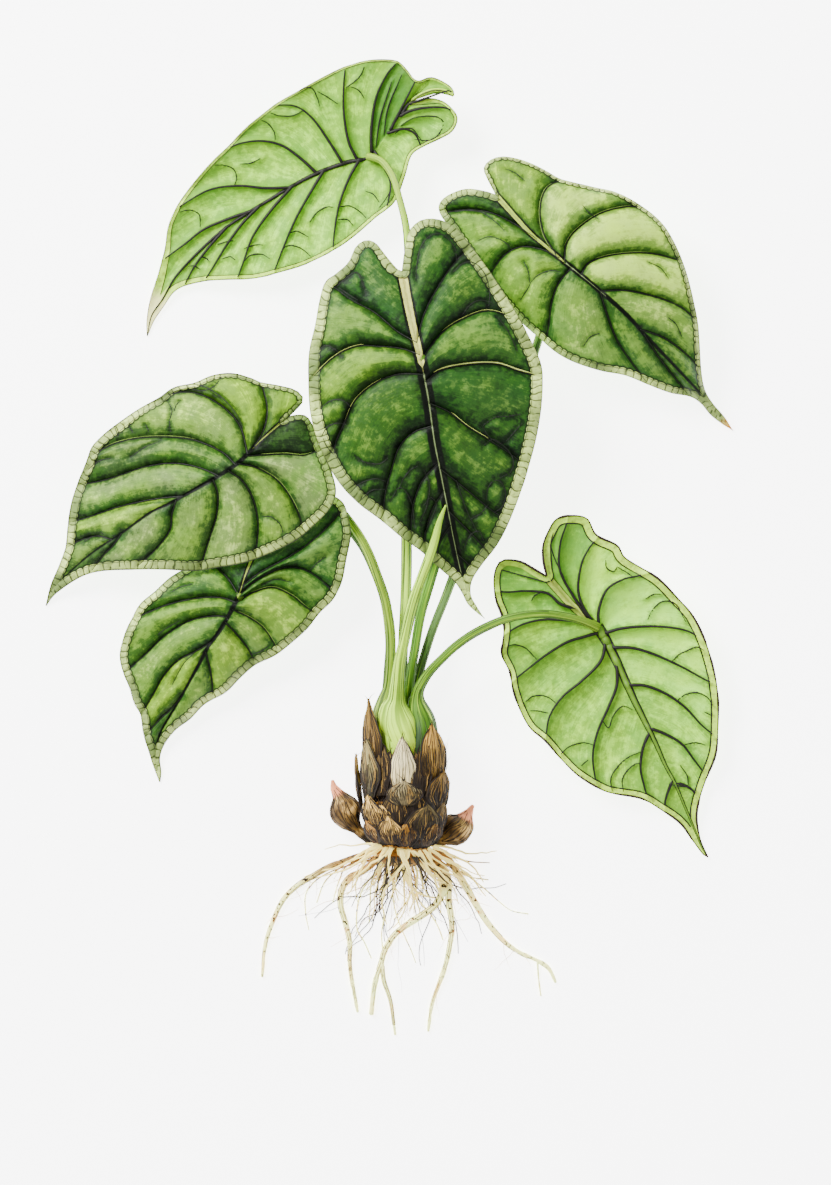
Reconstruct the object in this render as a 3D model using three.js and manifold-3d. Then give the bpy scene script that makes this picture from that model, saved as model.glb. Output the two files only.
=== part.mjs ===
// A dragon-scale alocasia lifted with its roots bare and laid down on a flat surface.
// Millimetres. Seen from above, +Y runs up the plant from the corm to the leaves, +X is to the
// right, and +Z rises from the surface. The origin is on the small flat on which the corm rests.
import * as THREE from "three";
import Module from "manifold-3d";

const wasm = await Module();
wasm.setup();

const gap = 0.3; // air between two pieces that touch on the plant

// Leaf blades
const bladeThickness = 1.1;
const swell = 1.7; // how far the cells stand proud between the sunken veins
const fullCell = 30; // a cell this wide has the whole swell
const marginWave = 0.9;
const wavesPerSide = 8;
const midribRidge = 0.9;
const sinusRib = 0.8;
const ridgeReach = 0.28; // share of the spine at which the pale upper rib has run out
const dripStart = 0.93; // share of the spine at which the drip tip begins
const veinSpacing = 0.012; // least distance between two veins, as a share of the spine
const rowStep = 12; // distance between two rows of points along the margin
const columns = [0.1, 0.35, 0.65, 0.9, 1]; // shares of the way from the spine to the margin

// Each blade has a spine from the bottom of its sinus to its tip, as [x, y, height], and two
// margins between the same ends. A vein runs from the spine to a margin, where it is at "rise".
const leaves = {
  blade_center: {
    faceUp: true,
    spine: [
      [-3.5, 230, 48], [0.5, 209.5, 51], [4.5, 192.5, 53], [8, 174.5, 50], [10.5, 157, 46],
      [13, 144.5, 42], [16, 129.5, 37], [19.5, 112, 31], [22.5, 99, 26.5], [25.5, 90, 23.5],
      [28.5, 84, 21.5], [32.5, 80, 20.5]],
    margins: [[
      [-2, 240.5], [-0.5, 247], [4.5, 252], [12, 252.5], [19.5, 249], [26, 241.5], [34.5, 230],
      [43.5, 216.5], [51, 203], [56.5, 191], [57.5, 181], [56.5, 168], [53.5, 153], [48.5, 136],
      [43.5, 123], [38, 112], [31, 103], [27, 96.5], [26.5, 90.5], [29, 85.5]
    ], [
      [-7.5, 232], [-11, 237], [-14.5, 242], [-19, 243.5], [-23.5, 240.5], [-26.5, 234], [-32, 229],
      [-36.5, 225.5], [-39, 218], [-41, 207], [-43.5, 196], [-44, 185.5], [-43.5, 172.5],
      [-41.5, 161.5], [-37.5, 151], [-31.5, 140], [-23, 130.5], [-13, 123], [-3.5, 115], [4.5, 109.5],
      [12, 102.5], [19, 96.5], [22.5, 91.5], [25, 86.5], [28.5, 83]
    ]],
    veins: [[
      { rise: 46, depth: 1, path: [[3, 199], [6, 211], [12, 223], [19.5, 234], [26.5, 241]] },
      { rise: 43, depth: 1, path: [
        [5, 191], [8.5, 197], [15, 204.5], [24, 210], [34.5, 213], [48, 209]] },
      { rise: 41, depth: 1, path: [
        [6.5, 182], [13, 187], [24, 189.5], [37, 190], [47, 187], [57, 184]] },
      { rise: 38, depth: 1, path: [
        [8.5, 173], [16.5, 169.5], [25, 163], [34, 157.5], [42.5, 152], [51, 145.5]] },
      { rise: 33, depth: 0.8, path: [[13, 145], [20, 139.5], [28, 133], [35.5, 127], [43, 122]] },
      { rise: 29, depth: 0.6, path: [[16.5, 127], [22.5, 121], [28.5, 115], [35, 108]] },
      { rise: 26, depth: 0.4, path: [[20.5, 108.5], [23.5, 105.5], [27, 102], [30, 100.5]] }
    ], [
      { rise: 45, depth: 1, path: [
        [3, 199], [-5.5, 204], [-15, 212], [-25, 217.5], [-32.5, 223], [-36.5, 225.5]] },
      { rise: 42, depth: 1, path: [
        [4.5, 193.5], [-3.5, 196.5], [-13, 197.5], [-23.5, 197.5], [-33.5, 192.5], [-44, 182.5]] },
      { rise: 40, depth: 1, path: [
        [6, 185.5], [-4.5, 185.5], [-14.5, 182], [-23.5, 174.5], [-28.5, 164], [-36, 148]] },
      { rise: 36, depth: 1, path: [
        [9.5, 163.5], [1.5, 160.5], [-4.5, 154.5], [-8, 144.5], [-11, 132.5], [-11, 121]] },
      { rise: 33, depth: 0.7, path: [[12.5, 147.5], [5.5, 140], [2, 131.5], [0.5, 122], [1.5, 111.5]] },
      { rise: 31, depth: 0.6, path: [[15, 135.5], [10, 128], [7.5, 120.5], [6.5, 114], [8, 106.5]] },
      { rise: 27, depth: 0.4, path: [[18, 121], [14, 115], [12, 109], [14, 100.5]] }
    ]]
  },
  blade_top_right: {
    faceUp: true,
    spine: [
      [37, 264.5, 27], [43.5, 257, 29], [52, 247.5, 32], [60, 240.5, 34.5], [66.5, 235, 36],
      [74, 229, 36], [82.5, 222, 35], [93.5, 212.5, 32], [104.5, 201, 28], [115.5, 190, 22],
      [124, 181.5, 15], [128.5, 177, 11], [134, 171, 6.5], [138.5, 166, 3], [142, 162.5, 0.6]],
    margins: [[
      [35, 269.5], [32, 275.5], [35, 279.5], [40.5, 281], [48.5, 279.5], [57, 276], [66, 271],
      [78.5, 268], [89.5, 265.5], [101, 259.5], [109, 253], [114.5, 245], [119, 235.5], [122.5, 223.5],
      [125.5, 210.5], [126.5, 199.5], [127.5, 188.5], [129, 180.5], [132.5, 174.5], [138, 168.5]
    ], [
      [32.5, 266], [24, 267], [16, 264], [12.5, 260], [13.5, 255.5], [17.5, 250], [25, 239.5],
      [32.5, 228.5], [41.5, 217], [49.5, 208], [56.5, 202], [63.5, 196], [72, 191.5], [83, 188],
      [94, 186], [104, 182], [114, 178.5], [122.5, 177], [127.5, 174], [132, 169], [137.5, 165]
    ]],
    veins: [[
      { rise: 29, depth: 1, path: [[63.5, 238], [58, 247], [56.5, 257.5], [59, 266.5], [66.5, 271]] },
      { rise: 26, depth: 1, path: [
        [67, 234.5], [68, 243], [73, 249.5], [82.5, 256], [93, 259], [101.5, 259]] },
      { rise: 23, depth: 1, path: [[74, 229], [78, 234.5], [88, 238], [103.5, 239], [119, 235.5]] },
      { rise: 20, depth: 1, path: [
        [82.5, 222], [93.5, 222.5], [106.5, 220], [117.5, 216], [125.5, 210]] },
      { rise: 14, depth: 0.6, path: [[100, 205.5], [111, 202], [121, 195], [127.5, 188]] }
    ], [
      { rise: 24, depth: 0.9, path: [
        [55.5, 244.5], [45.5, 251.5], [35, 256.5], [24, 258], [13, 256.5]] },
      { rise: 25, depth: 1, path: [[65, 236], [58, 240], [48.5, 241.5], [40.5, 237.5], [33.5, 227]] },
      { rise: 24, depth: 1, path: [[70, 232], [64.5, 225.5], [61.5, 217], [60.5, 208], [59, 200]] },
      { rise: 18, depth: 1, path: [[82.5, 222], [86, 211], [90.5, 200.5], [97.5, 190.5], [104, 182]] },
      { rise: 12, depth: 0.6, path: [[102, 204], [108, 194.5], [115, 186], [122.5, 177]] }
    ]]
  },
  blade_top_left: {
    faceUp: false,
    spine: [
      [0, 305.5, 17], [-5, 298.5, 15], [-11, 290.5, 12.5], [-18, 282, 10.5], [-28.5, 279.5, 9.5],
      [-44, 273.5, 8.5], [-61.5, 263.5, 8], [-79, 252.5, 7], [-92, 241.5, 5.5], [-102.5, 230.5, 3.5],
      [-108.5, 220.5, 1.8], [-113.5, 213, 0.9], [-115.5, 204, 0.6]],
    margins: [[
      [4.5, 308.5], [10, 310.5], [15.5, 310], [19, 307.5], [18.5, 311], [14.5, 314], [9, 316],
      [3, 314.5], [-1.5, 319.5], [-5, 323], [-11, 324], [-19.5, 323.5], [-28.5, 321], [-37, 317],
      [-48, 311], [-57, 306], [-65, 300], [-72.5, 294], [-79.5, 286.5], [-85.5, 281], [-92, 274],
      [-98, 266.5], [-102.5, 259.5], [-106, 251.5], [-107.5, 241.5], [-110.5, 231], [-114, 220],
      [-115.5, 211]
    ], [
      [3.5, 305.5], [9, 307], [15.5, 305], [20.5, 299], [18.5, 293], [12.5, 289.5], [6, 286.5],
      [0.5, 282.5], [-2.5, 273], [-7, 262], [-15.5, 255], [-25.5, 246.5], [-33.5, 241], [-46, 235],
      [-57, 231.5], [-68, 229], [-79, 228.5], [-90, 228], [-99, 226], [-104, 223], [-108, 217.5],
      [-112.5, 211]
    ]],
    veins: [[
      { rise: 20, depth: 0.7, path: [[-3.5, 300.5], [0.5, 306], [6, 309], [12.5, 311], [19, 309.5]] },
      { rise: 19, depth: 1, path: [[-8.5, 293.5], [-4.5, 301.5], [-0.5, 309], [2.5, 314.5]] },
      { rise: 17, depth: 1, path: [[-17, 283], [-17, 293.5], [-15, 307], [-10.5, 317], [-5.5, 323]] },
      { rise: 15, depth: 1, path: [[-23, 281], [-27, 289], [-29, 301.5], [-29, 313], [-28, 321]] },
      { rise: 13, depth: 1, path: [
        [-29.5, 279], [-35, 288], [-42.5, 298.5], [-50, 304], [-58.5, 304.5]] },
      { rise: 11, depth: 1, path: [
        [-41, 275], [-48, 281.5], [-56, 287], [-65, 289], [-74, 288], [-80.5, 285]] },
      { rise: 8, depth: 1, path: [
        [-52.5, 268.5], [-63.5, 268.5], [-75.5, 269.5], [-88.5, 267.5], [-102, 259.5]] },
      { rise: 4.5, depth: 1, path: [
        [-70, 258], [-80, 255], [-90.5, 250.5], [-99, 244], [-107.5, 237]] }
    ], [
      { rise: 18, depth: 0.8, path: [[-4.5, 299.5], [-0.5, 301.5], [6.5, 303], [15, 303], [20, 301]] },
      { rise: 13, depth: 0.5, path: [[-9.5, 292], [-3, 294], [2, 292], [5.5, 286]] },
      { rise: 14, depth: 0.5, path: [[-16, 284.5], [-11, 277], [-8.5, 269.5], [-10, 258.5]] },
      { rise: 13, depth: 1, path: [[-22.5, 281], [-27, 272], [-31, 261], [-33, 250], [-33.5, 241]] },
      { rise: 11, depth: 1, path: [
        [-37.5, 276], [-43, 267.5], [-49.5, 256], [-55, 243.5], [-60, 230.5]] },
      { rise: 9, depth: 1, path: [[-51.5, 269], [-61.5, 258], [-69, 247], [-73, 236], [-75.5, 229]] },
      { rise: 6, depth: 1, path: [
        [-66, 261], [-73.5, 253], [-80.5, 243.5], [-86, 234.5], [-90.5, 228]] },
      { rise: 3, depth: 0.6, path: [[-80.5, 251.5], [-88, 243], [-94.5, 234.5], [-99.5, 226]] }
    ]]
  },
  blade_left_upper: {
    faceUp: true,
    spine: [
      [-55, 166, 30], [-64.5, 157.5, 33], [-74.5, 147.5, 35], [-84.5, 141, 34], [-93.5, 136, 32],
      [-104.5, 130, 29.5], [-113, 126, 27], [-124.5, 118, 22], [-135.5, 111, 16], [-143, 105.5, 12],
      [-151.5, 98, 6.5], [-158, 91.5, 2.5], [-160, 85.5, 0.6]],
    margins: [[
      [-50.5, 170], [-46.5, 175], [-49.5, 179], [-56.5, 181], [-64.5, 182.5], [-69.5, 184.5],
      [-77.5, 186.5], [-86, 185.5], [-93.5, 182.5], [-102.5, 180.5], [-109, 176], [-117.5, 171.5],
      [-125.5, 166], [-133, 160.5], [-138.5, 155], [-141, 148.5], [-144.5, 140.5], [-147.5, 132],
      [-149.5, 121], [-150.5, 112], [-153.5, 103.5], [-157.5, 94.5]
    ], [
      [-51, 168], [-45.5, 168], [-42.5, 164], [-40, 156.5], [-36, 148], [-33, 139.5], [-32.5, 133.5],
      [-35.5, 127], [-42.5, 120], [-50, 114], [-61, 108.5], [-72, 104.5], [-83, 102.5], [-93.5, 101],
      [-107, 101.5], [-120, 101.5], [-133.5, 101], [-142.5, 99], [-150, 95], [-156.5, 90]
    ]],
    veins: [[
      { rise: 29, depth: 1, path: [[-67.5, 154], [-63.5, 162], [-62, 171.5], [-64.5, 182]] },
      { rise: 26, depth: 1, path: [
        [-70.5, 151.5], [-73.5, 163], [-80, 171], [-90, 177], [-99, 178.5], [-108, 176.5]] },
      { rise: 19, depth: 1, path: [
        [-75.5, 146.5], [-82, 152.5], [-95.5, 158], [-113.5, 159], [-128, 156.5], [-140, 150.5]] },
      { rise: 15, depth: 1, path: [
        [-83, 142], [-91.5, 145.5], [-102.5, 147.5], [-115.5, 146], [-131, 141], [-145, 137.5]] },
      { rise: 13, depth: 1, path: [
        [-98.5, 133], [-111, 132], [-127.5, 128.5], [-139.5, 124.5], [-149, 121.5]] },
      { rise: 10, depth: 0.5, path: [[-130, 114], [-136.5, 116], [-143.5, 114.5], [-151, 111]] }
    ], [
      { rise: 29, depth: 1, path: [
        [-71, 150.5], [-64, 151], [-54.5, 151.5], [-46, 151], [-39, 153.5]] },
      { rise: 29, depth: 1, path: [
        [-74.5, 147.5], [-66.5, 145.5], [-58, 140.5], [-52, 133], [-48, 124.5], [-46, 117]] },
      { rise: 28, depth: 1, path: [
        [-79, 144.5], [-72.5, 139.5], [-68, 131.5], [-66, 122], [-66.5, 113], [-67, 106]] },
      { rise: 24, depth: 1, path: [
        [-85.5, 140.5], [-83.5, 134], [-84, 125], [-87, 115.5], [-91.5, 101.5]] },
      { rise: 18, depth: 1, path: [
        [-101.5, 131.5], [-103.5, 125.5], [-104.5, 118.5], [-110.5, 110.5], [-120.5, 101.5]] },
      { rise: 11, depth: 0.4, path: [[-125.5, 117.5], [-129.5, 112], [-134, 107.5], [-140, 100]] }
    ]]
  },
  blade_left_lower: {
    faceUp: true,
    spine: [
      [-67, 110.5, 22], [-71.5, 99.5, 24], [-75, 89, 25], [-82, 76, 22.5], [-87.5, 68.5, 20.5],
      [-91.5, 61, 18], [-96, 53, 15], [-100.5, 45, 12], [-105, 37.5, 8.5], [-109, 31, 5.5],
      [-111, 25, 4], [-111.5, 19.5, 2.5], [-111, 13, 1.2], [-110, 8, 0.6]],
    margins: [[
      [-73, 114], [-81, 113], [-89.5, 108], [-97, 102.5], [-105, 97.5], [-111.5, 91.5], [-118, 86],
      [-122, 79], [-125, 72], [-127, 64], [-125.5, 56.5], [-123, 50], [-121, 43], [-118, 37.5],
      [-117, 29.5], [-114.5, 21.5], [-112.5, 14.5]
    ], [
      [-56, 122], [-45, 130.5], [-35.5, 133.5], [-29.5, 130.5], [-27, 124], [-26, 116], [-28, 105.5],
      [-30, 95.5], [-34, 88], [-40, 82], [-44.5, 76], [-50.5, 70.5], [-59, 64], [-68, 59.5],
      [-74.5, 54], [-81, 47.5], [-90, 42.5], [-96.5, 36], [-103, 31], [-108, 24.5], [-110, 18.5],
      [-109.5, 12.5]
    ]],
    veins: [[
      { rise: 17, depth: 0.8, path: [[-74.5, 90], [-79, 97], [-84.5, 102.5], [-89.5, 108]] },
      { rise: 13, depth: 1, path: [
        [-76, 87], [-82, 89], [-91.5, 89], [-104, 86.5], [-113.5, 83], [-122, 79]] },
      { rise: 9, depth: 1, path: [
        [-79, 80.5], [-86, 81], [-96, 79], [-107, 72.5], [-116, 64], [-125, 55.5]] },
      { rise: 6, depth: 1, path: [
        [-86.5, 69.5], [-93, 66], [-101.5, 61.5], [-108, 54.5], [-112, 47.5], [-118, 37.5]] },
      { rise: 4.5, depth: 0.4, path: [[-100.5, 45.5], [-105, 40], [-109.5, 36], [-116, 28]] }
    ], [
      { rise: 24, depth: 0.8, path: [[-73, 94], [-64.5, 100.5], [-52.5, 107], [-40, 116], [-29, 128]] },
      { rise: 20, depth: 1, path: [
        [-74.5, 90], [-66.5, 97], [-56, 102], [-46.5, 101.5], [-39, 97], [-32.5, 91]] },
      { rise: 17, depth: 1, path: [
        [-76, 87], [-68, 91.5], [-59.5, 93.5], [-51.5, 90], [-46, 85.5], [-41, 81]] },
      { rise: 14.5, depth: 1, path: [[-77.5, 84], [-71, 81], [-64.5, 76.5], [-60.5, 71], [-57, 65.5]] },
      { rise: 12, depth: 1, path: [
        [-80.5, 78.5], [-75.5, 73], [-71.5, 68], [-69, 63.5], [-67.5, 59.5]] },
      { rise: 8, depth: 0.8, path: [[-89, 65.5], [-87.5, 58.5], [-86.5, 51], [-86.5, 44.5]] }
    ]]
  },
  blade_right_lower: {
    faceUp: false,
    spine: [
      [59.5, 98.5, 20], [65.5, 91.5, 17], [72, 84.5, 14.5], [78, 79.5, 13], [82.5, 75.5, 12.5],
      [87.5, 67, 11.5], [93, 55.5, 11], [98, 44.5, 10.5], [103, 34.5, 10], [107.5, 25.5, 9],
      [112, 15.5, 7.5], [116.5, 7, 6], [121, -3.5, 4], [125.5, -14, 2], [128.5, -21, 0.8],
      [131, -25, 0.6]],
    margins: [[
      [58, 105.5], [58, 112], [60.5, 118.5], [64, 123.5], [71, 125], [77.5, 123.5], [81.5, 116.5],
      [90.5, 112], [93.5, 107], [100.5, 102.5], [108.5, 97.5], [116, 90], [123.5, 81.5], [129, 70.5],
      [133, 57.5], [135, 44], [135, 31], [134, 20], [130, 9.5], [127, 0], [126, -7.5], [127.5, -16.5]
    ], [
      [54.5, 101.5], [48, 105], [40.5, 105.5], [37.5, 102], [36.5, 96], [37.5, 88], [40, 81.5],
      [41, 76], [40.5, 70], [40, 64], [43.5, 56.5], [45, 48.5], [48, 40], [52.5, 32], [59, 26.5],
      [65.5, 19], [72.5, 12], [80, 7], [87.5, 3.5], [101, 1], [110, -4], [118.5, -10], [124, -17.5],
      [128.5, -23.5]
    ]],
    veins: [[
      { rise: 19, depth: 1, path: [
        [79, 79], [71.5, 89.5], [65.5, 101], [65.5, 112], [68, 120.5], [69, 124.5]] },
      { rise: 18, depth: 1, path: [
        [80.5, 77], [75.5, 85.5], [73.5, 93.5], [75, 104], [78.5, 111], [82, 115.5]] },
      { rise: 17, depth: 1, path: [
        [83, 75], [82.5, 83.5], [86, 92.5], [93, 97], [99.5, 98.5], [104.5, 100.5]] },
      { rise: 14, depth: 1, path: [
        [84, 73], [92, 75.5], [103, 76.5], [114, 76], [122.5, 74], [129.5, 69.5]] },
      { rise: 12, depth: 1, path: [
        [87.5, 67], [97.5, 67], [107.5, 64], [118.5, 59], [128.5, 53.5], [134, 51]] },
      { rise: 9, depth: 1, path: [
        [95, 51], [103, 50.5], [112, 47], [120.5, 41], [128, 33], [135, 27.5]] },
      { rise: 6, depth: 1, path: [[104.5, 32], [111.5, 29.5], [119, 25], [124.5, 18], [130.5, 10.5]] },
      { rise: 4, depth: 0.4, path: [[116, 7.5], [120, 7], [124, 4.5], [127, 0]] }
    ], [
      { rise: 17, depth: 1, path: [
        [72.5, 84], [65.5, 86.5], [60, 91], [50.5, 92], [43, 91.5], [36.5, 92]] },
      { rise: 16, depth: 0.6, path: [[79.5, 77.5], [71, 79], [59, 79.5], [49.5, 77.5], [41, 72.5]] },
      { rise: 15, depth: 1, path: [
        [83, 73.5], [76.5, 72], [68.5, 69.5], [59.5, 64], [51, 57.5], [44, 52]] },
      { rise: 13, depth: 1, path: [
        [85.5, 70.5], [83.5, 61.5], [75.5, 53], [66.5, 45.5], [61, 37], [59, 26.5]] },
      { rise: 10, depth: 1, path: [
        [90.5, 61.5], [90.5, 51], [87, 41.5], [82, 30], [80, 19], [81.5, 6]] },
      { rise: 6, depth: 1, path: [[105, 30.5], [102, 23], [101, 14.5], [102.5, 7], [104.5, -0.5]] },
      { rise: 4, depth: 0.3, path: [[115, 9.5], [113.5, 5], [112, 0], [111.5, -5]] }
    ]]
  }
};

const stalkSides = 8;
// Round parts that taper along a route, as [x, y, height, half width, half depth]
const stalks = {
  petiole_left_upper: [
    [-7, 15.5, 17, 9, 12], [-8.5, 22.5, 17, 9, 12.5], [-9.5, 29, 17, 8, 11], [-11, 35.5, 17.5, 6.5, 9],
    [-11.5, 40.5, 18, 4.6, 6.5], [-11, 45, 18.5, 3, 4], [-9.5, 50.5, 19, 2.2, 2.6],
    [-8.5, 61, 20, 2.1, 2.2], [-8.5, 74, 20, 2.1, 2.2], [-10.5, 87, 20, 2, 2.1],
    [-14, 97.5, 19.5, 2, 2], [-19, 110.5, 18.5, 2, 2], [-25.5, 121, 17, 2, 2], [-33, 129, 16.5, 2, 2],
    [-46, 136.5, 18, 2, 2], [-59, 143, 24, 2, 2], [-68.5, 146.5, 30, 2.1, 2.1],
    [-75.5, 147.5, 33.5, 2.2, 2.2]],
  petiole_left_lower: [
    [-10.5, 44, 12, 1.9, 1.9], [-9.5, 57.5, 12, 1.9, 1.9], [-9, 70.5, 12, 1.9, 1.9],
    [-11, 87, 12, 1.9, 1.9], [-15, 99.5, 11, 1.8, 1.8], [-21, 112, 10, 1.8, 1.8],
    [-28.5, 120, 10, 1.8, 1.8], [-38.5, 122, 11, 1.8, 1.8], [-50.5, 116, 13, 1.8, 1.8],
    [-63, 104.5, 16.5, 1.8, 1.8], [-70, 96, 21, 1.9, 1.9], [-75, 89, 24.5, 2, 2]],
  petiole_top_left: [
    [-5, 33, 13, 2.2, 2.2], [-3.5, 43, 11, 2.2, 2.2], [-3.5, 53, 11, 2.2, 2.2],
    [-3, 70.5, 11, 2.2, 2.2],
    [-2, 88, 11, 2.3, 2.3], [-1.5, 105.5, 11.5, 2.3, 2.3], [-1.5, 132, 13, 2.1, 2.1],
    [-1, 162.5, 15, 2, 2], [-0.5, 197, 18.5, 1.9, 1.9], [-0.5, 227.5, 23, 1.7, 1.7],
    [-1.5, 248.5, 26.5, 1.5, 1.5], [-4.5, 262, 27.5, 1.4, 1.4], [-7.5, 272, 26, 1.5, 1.5],
    [-11.5, 278.5, 21.5, 1.6, 1.6], [-15, 281, 16.5, 1.7, 1.7], [-18, 282, 12, 1.9, 1.6]],
  petiole_center: [
    [-1, 42, 16.5, 2.2, 2.2], [0, 53, 16.5, 2, 2], [2, 66, 16, 2, 2], [4.5, 81, 15.5, 2.1, 2.2],
    [8, 94, 15.5, 2.3, 2.3], [12, 107.5, 16, 2.2, 2.2], [15.5, 123, 18.5, 2.1, 2.1],
    [17, 144.5, 24, 2, 2], [15.5, 164, 32, 2, 2], [11.5, 179, 41, 2, 2], [7.5, 188.5, 48, 2.1, 2.1],
    [4.5, 193, 52, 2.2, 2.2]],
  petiole_top_right: [
    [2, 33, 13, 1.9, 1.9], [2, 42, 10, 1.9, 1.9], [2.5, 49.5, 10.5, 1.9, 1.9], [5, 59.5, 11, 1.9, 1.9],
    [9.5, 74, 11, 1.9, 1.9], [15, 88, 11, 1.9, 1.9], [19, 98.5, 11, 1.9, 1.9],
    [28, 122, 11.5, 1.9, 1.9], [40.5, 158, 14, 1.9, 1.9], [52.5, 190.5, 17.5, 1.9, 1.9],
    [60, 214.5, 22, 1.9, 1.9], [64.5, 227.5, 28, 1.9, 1.9], [66.5, 235, 35, 2, 2]],
  petiole_right_lower: [
    [3.5, 15.5, 17, 8, 12], [4.5, 22.5, 17.5, 7.5, 11.5], [5.5, 29, 18, 6.8, 10.5],
    [5, 35, 18.5, 6.2, 8.5], [3.5, 40.5, 19.5, 5, 6], [3, 45, 20.5, 3.4, 4.2], [4, 49.5, 22, 2.4, 2.8],
    [8, 56, 24, 2, 2.2], [13.5, 62, 26, 1.9, 2], [20.5, 68.5, 28, 1.9, 1.9],
    [29.5, 74.5, 30, 1.8, 1.8], [42.5, 80, 32, 1.8, 1.8], [56.5, 82, 31, 1.7, 1.7],
    [67, 81, 26.5, 1.7, 1.7], [75, 79, 20, 1.8, 1.7], [82, 76, 14, 2.2, 1.5]],
  new_leaf_spike: [
    [1, 17, 19, 4.5, 7.5], [-1.5, 22.5, 21, 7, 8.5], [-4, 29, 22, 8.3, 8], [-6, 35, 22.5, 8.8, 6.6],
    [-6.5, 40.5, 23, 6.8, 5], [-6, 45, 23.5, 4.2, 3.8], [-5.5, 51.5, 25.5, 3.2, 3.2],
    [-4.5, 61, 28, 2.6, 2.8], [-2.5, 70.5, 30, 2.3, 2.5], [-0.5, 80, 31.5, 2.4, 2.5],
    [2, 89, 33, 2.3, 2.4], [5, 97.5, 34.5, 2.1, 2.2], [8.5, 107, 36.5, 2.1, 2.2],
    [11, 115, 38.5, 1.8, 1.9], [13, 122.5, 40.5, 1.2, 1.3], [15.5, 129, 42, 0.4, 0.4]],
  cormel_left: [
    [-16.5, -18, 9, 2.2, 2.2], [-19.5, -15.5, 10, 2.2, 2.2], [-23, -12.5, 11, 2.4, 2.4],
    [-26, -9, 11.5, 4.4, 4.6], [-28, -5, 11.5, 5.9, 6.2], [-29.5, -1, 11.5, 5.4, 5.8],
    [-31, 2.5, 11.5, 3, 3.4], [-33, 5.5, 11.5, 1.9, 2.1], [-34, 9, 11.5, 0.6, 0.7]],
  cormel_right: [
    [6.5, -16.5, 11, 1.8, 1.8], [9.5, -16.5, 11, 1.8, 1.8], [13, -17, 11, 2.4, 2.6],
    [16, -15, 11, 4.8, 5], [19.5, -12.5, 11, 6, 6.2], [23, -9.5, 11, 5.2, 5.4],
    [25.5, -5.5, 11, 2.2, 2.4], [27.5, -2, 11, 0.8, 0.9]]
};

// Corm and crown
const crownX = -2.3;
const crownHeight = 17;
const cormStretch = 1.055; // depth of the corm over its width
const cormSides = 24;
const cormProfile = [
  [13.5, 10], [12.5, 13.5], [9.5, 15.4], [5.5, 16.6], [1.5, 17], [-0.5, 17.5], [-1.2, 16.7],
  [-5.5, 17.1], [-7.5, 17.2], [-8.3, 16.3], [-12.5, 15.8], [-14.5, 15.3], [-15.3, 14.4],
  [-17, 13.3], [-19, 11.6], [-20.5, 8]
];
const cormTilt = 0.9; // the old leaf scars climb a little round the corm

// Papery scales round the crown. "angle" is 0 at the right and 90 towards the viewer, "radii" are
// its distances from the crown's axis at the base, in the middle and at the tip.
const scaleThickness = 0.9;
const crownScales = {
  scale_left_brown: { angle: 158, base: 11, tip: 43.5, half: 7.5, radii: [16, 17.9, 17.6] },
  scale_left_streaked: { angle: 155, base: 1, tip: 26.5, half: 9.5, radii: [18.3, 19, 19.2] },
  scale_left_edge: { angle: 184, base: -5, tip: 19, half: 5.5, radii: [18.3, 20.5, 21] },
  scale_front_pale: { angle: 92, base: 7, tip: 28, half: 5.4, radii: [18.7, 17.3, 14.6] },
  scale_front_under: { angle: 88, base: 1, tip: 9, half: 8.5, radii: [18.2, 17.7, 17] },
  scale_right_brown: { angle: 36, base: 8.5, tip: 33.5, half: 8.5, radii: [16.8, 18.6, 15.8] },
  scale_right_dark: { angle: 32, base: -3, tip: 12.5, half: 10, radii: [18.2, 19.3, 19.8] },
  scale_low_left: { angle: 143, base: -12, tip: 2.5, half: 9, radii: [17, 18.7, 19.8] },
  scale_low_front: { angle: 62, base: -16, tip: -1, half: 10, radii: [15.6, 18.9, 19.6] },
  scale_back_left: { angle: 222, base: 9, tip: 29, half: 8, radii: [16.7, 16.2, 15.2] },
  scale_back: { angle: 272, base: 12, tip: 31, half: 7, radii: [15, 14.8, 14.4] },
  scale_back_right: { angle: 325, base: 8.5, tip: 28.5, half: 8, radii: [16.8, 17, 15.2] }
};

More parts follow.
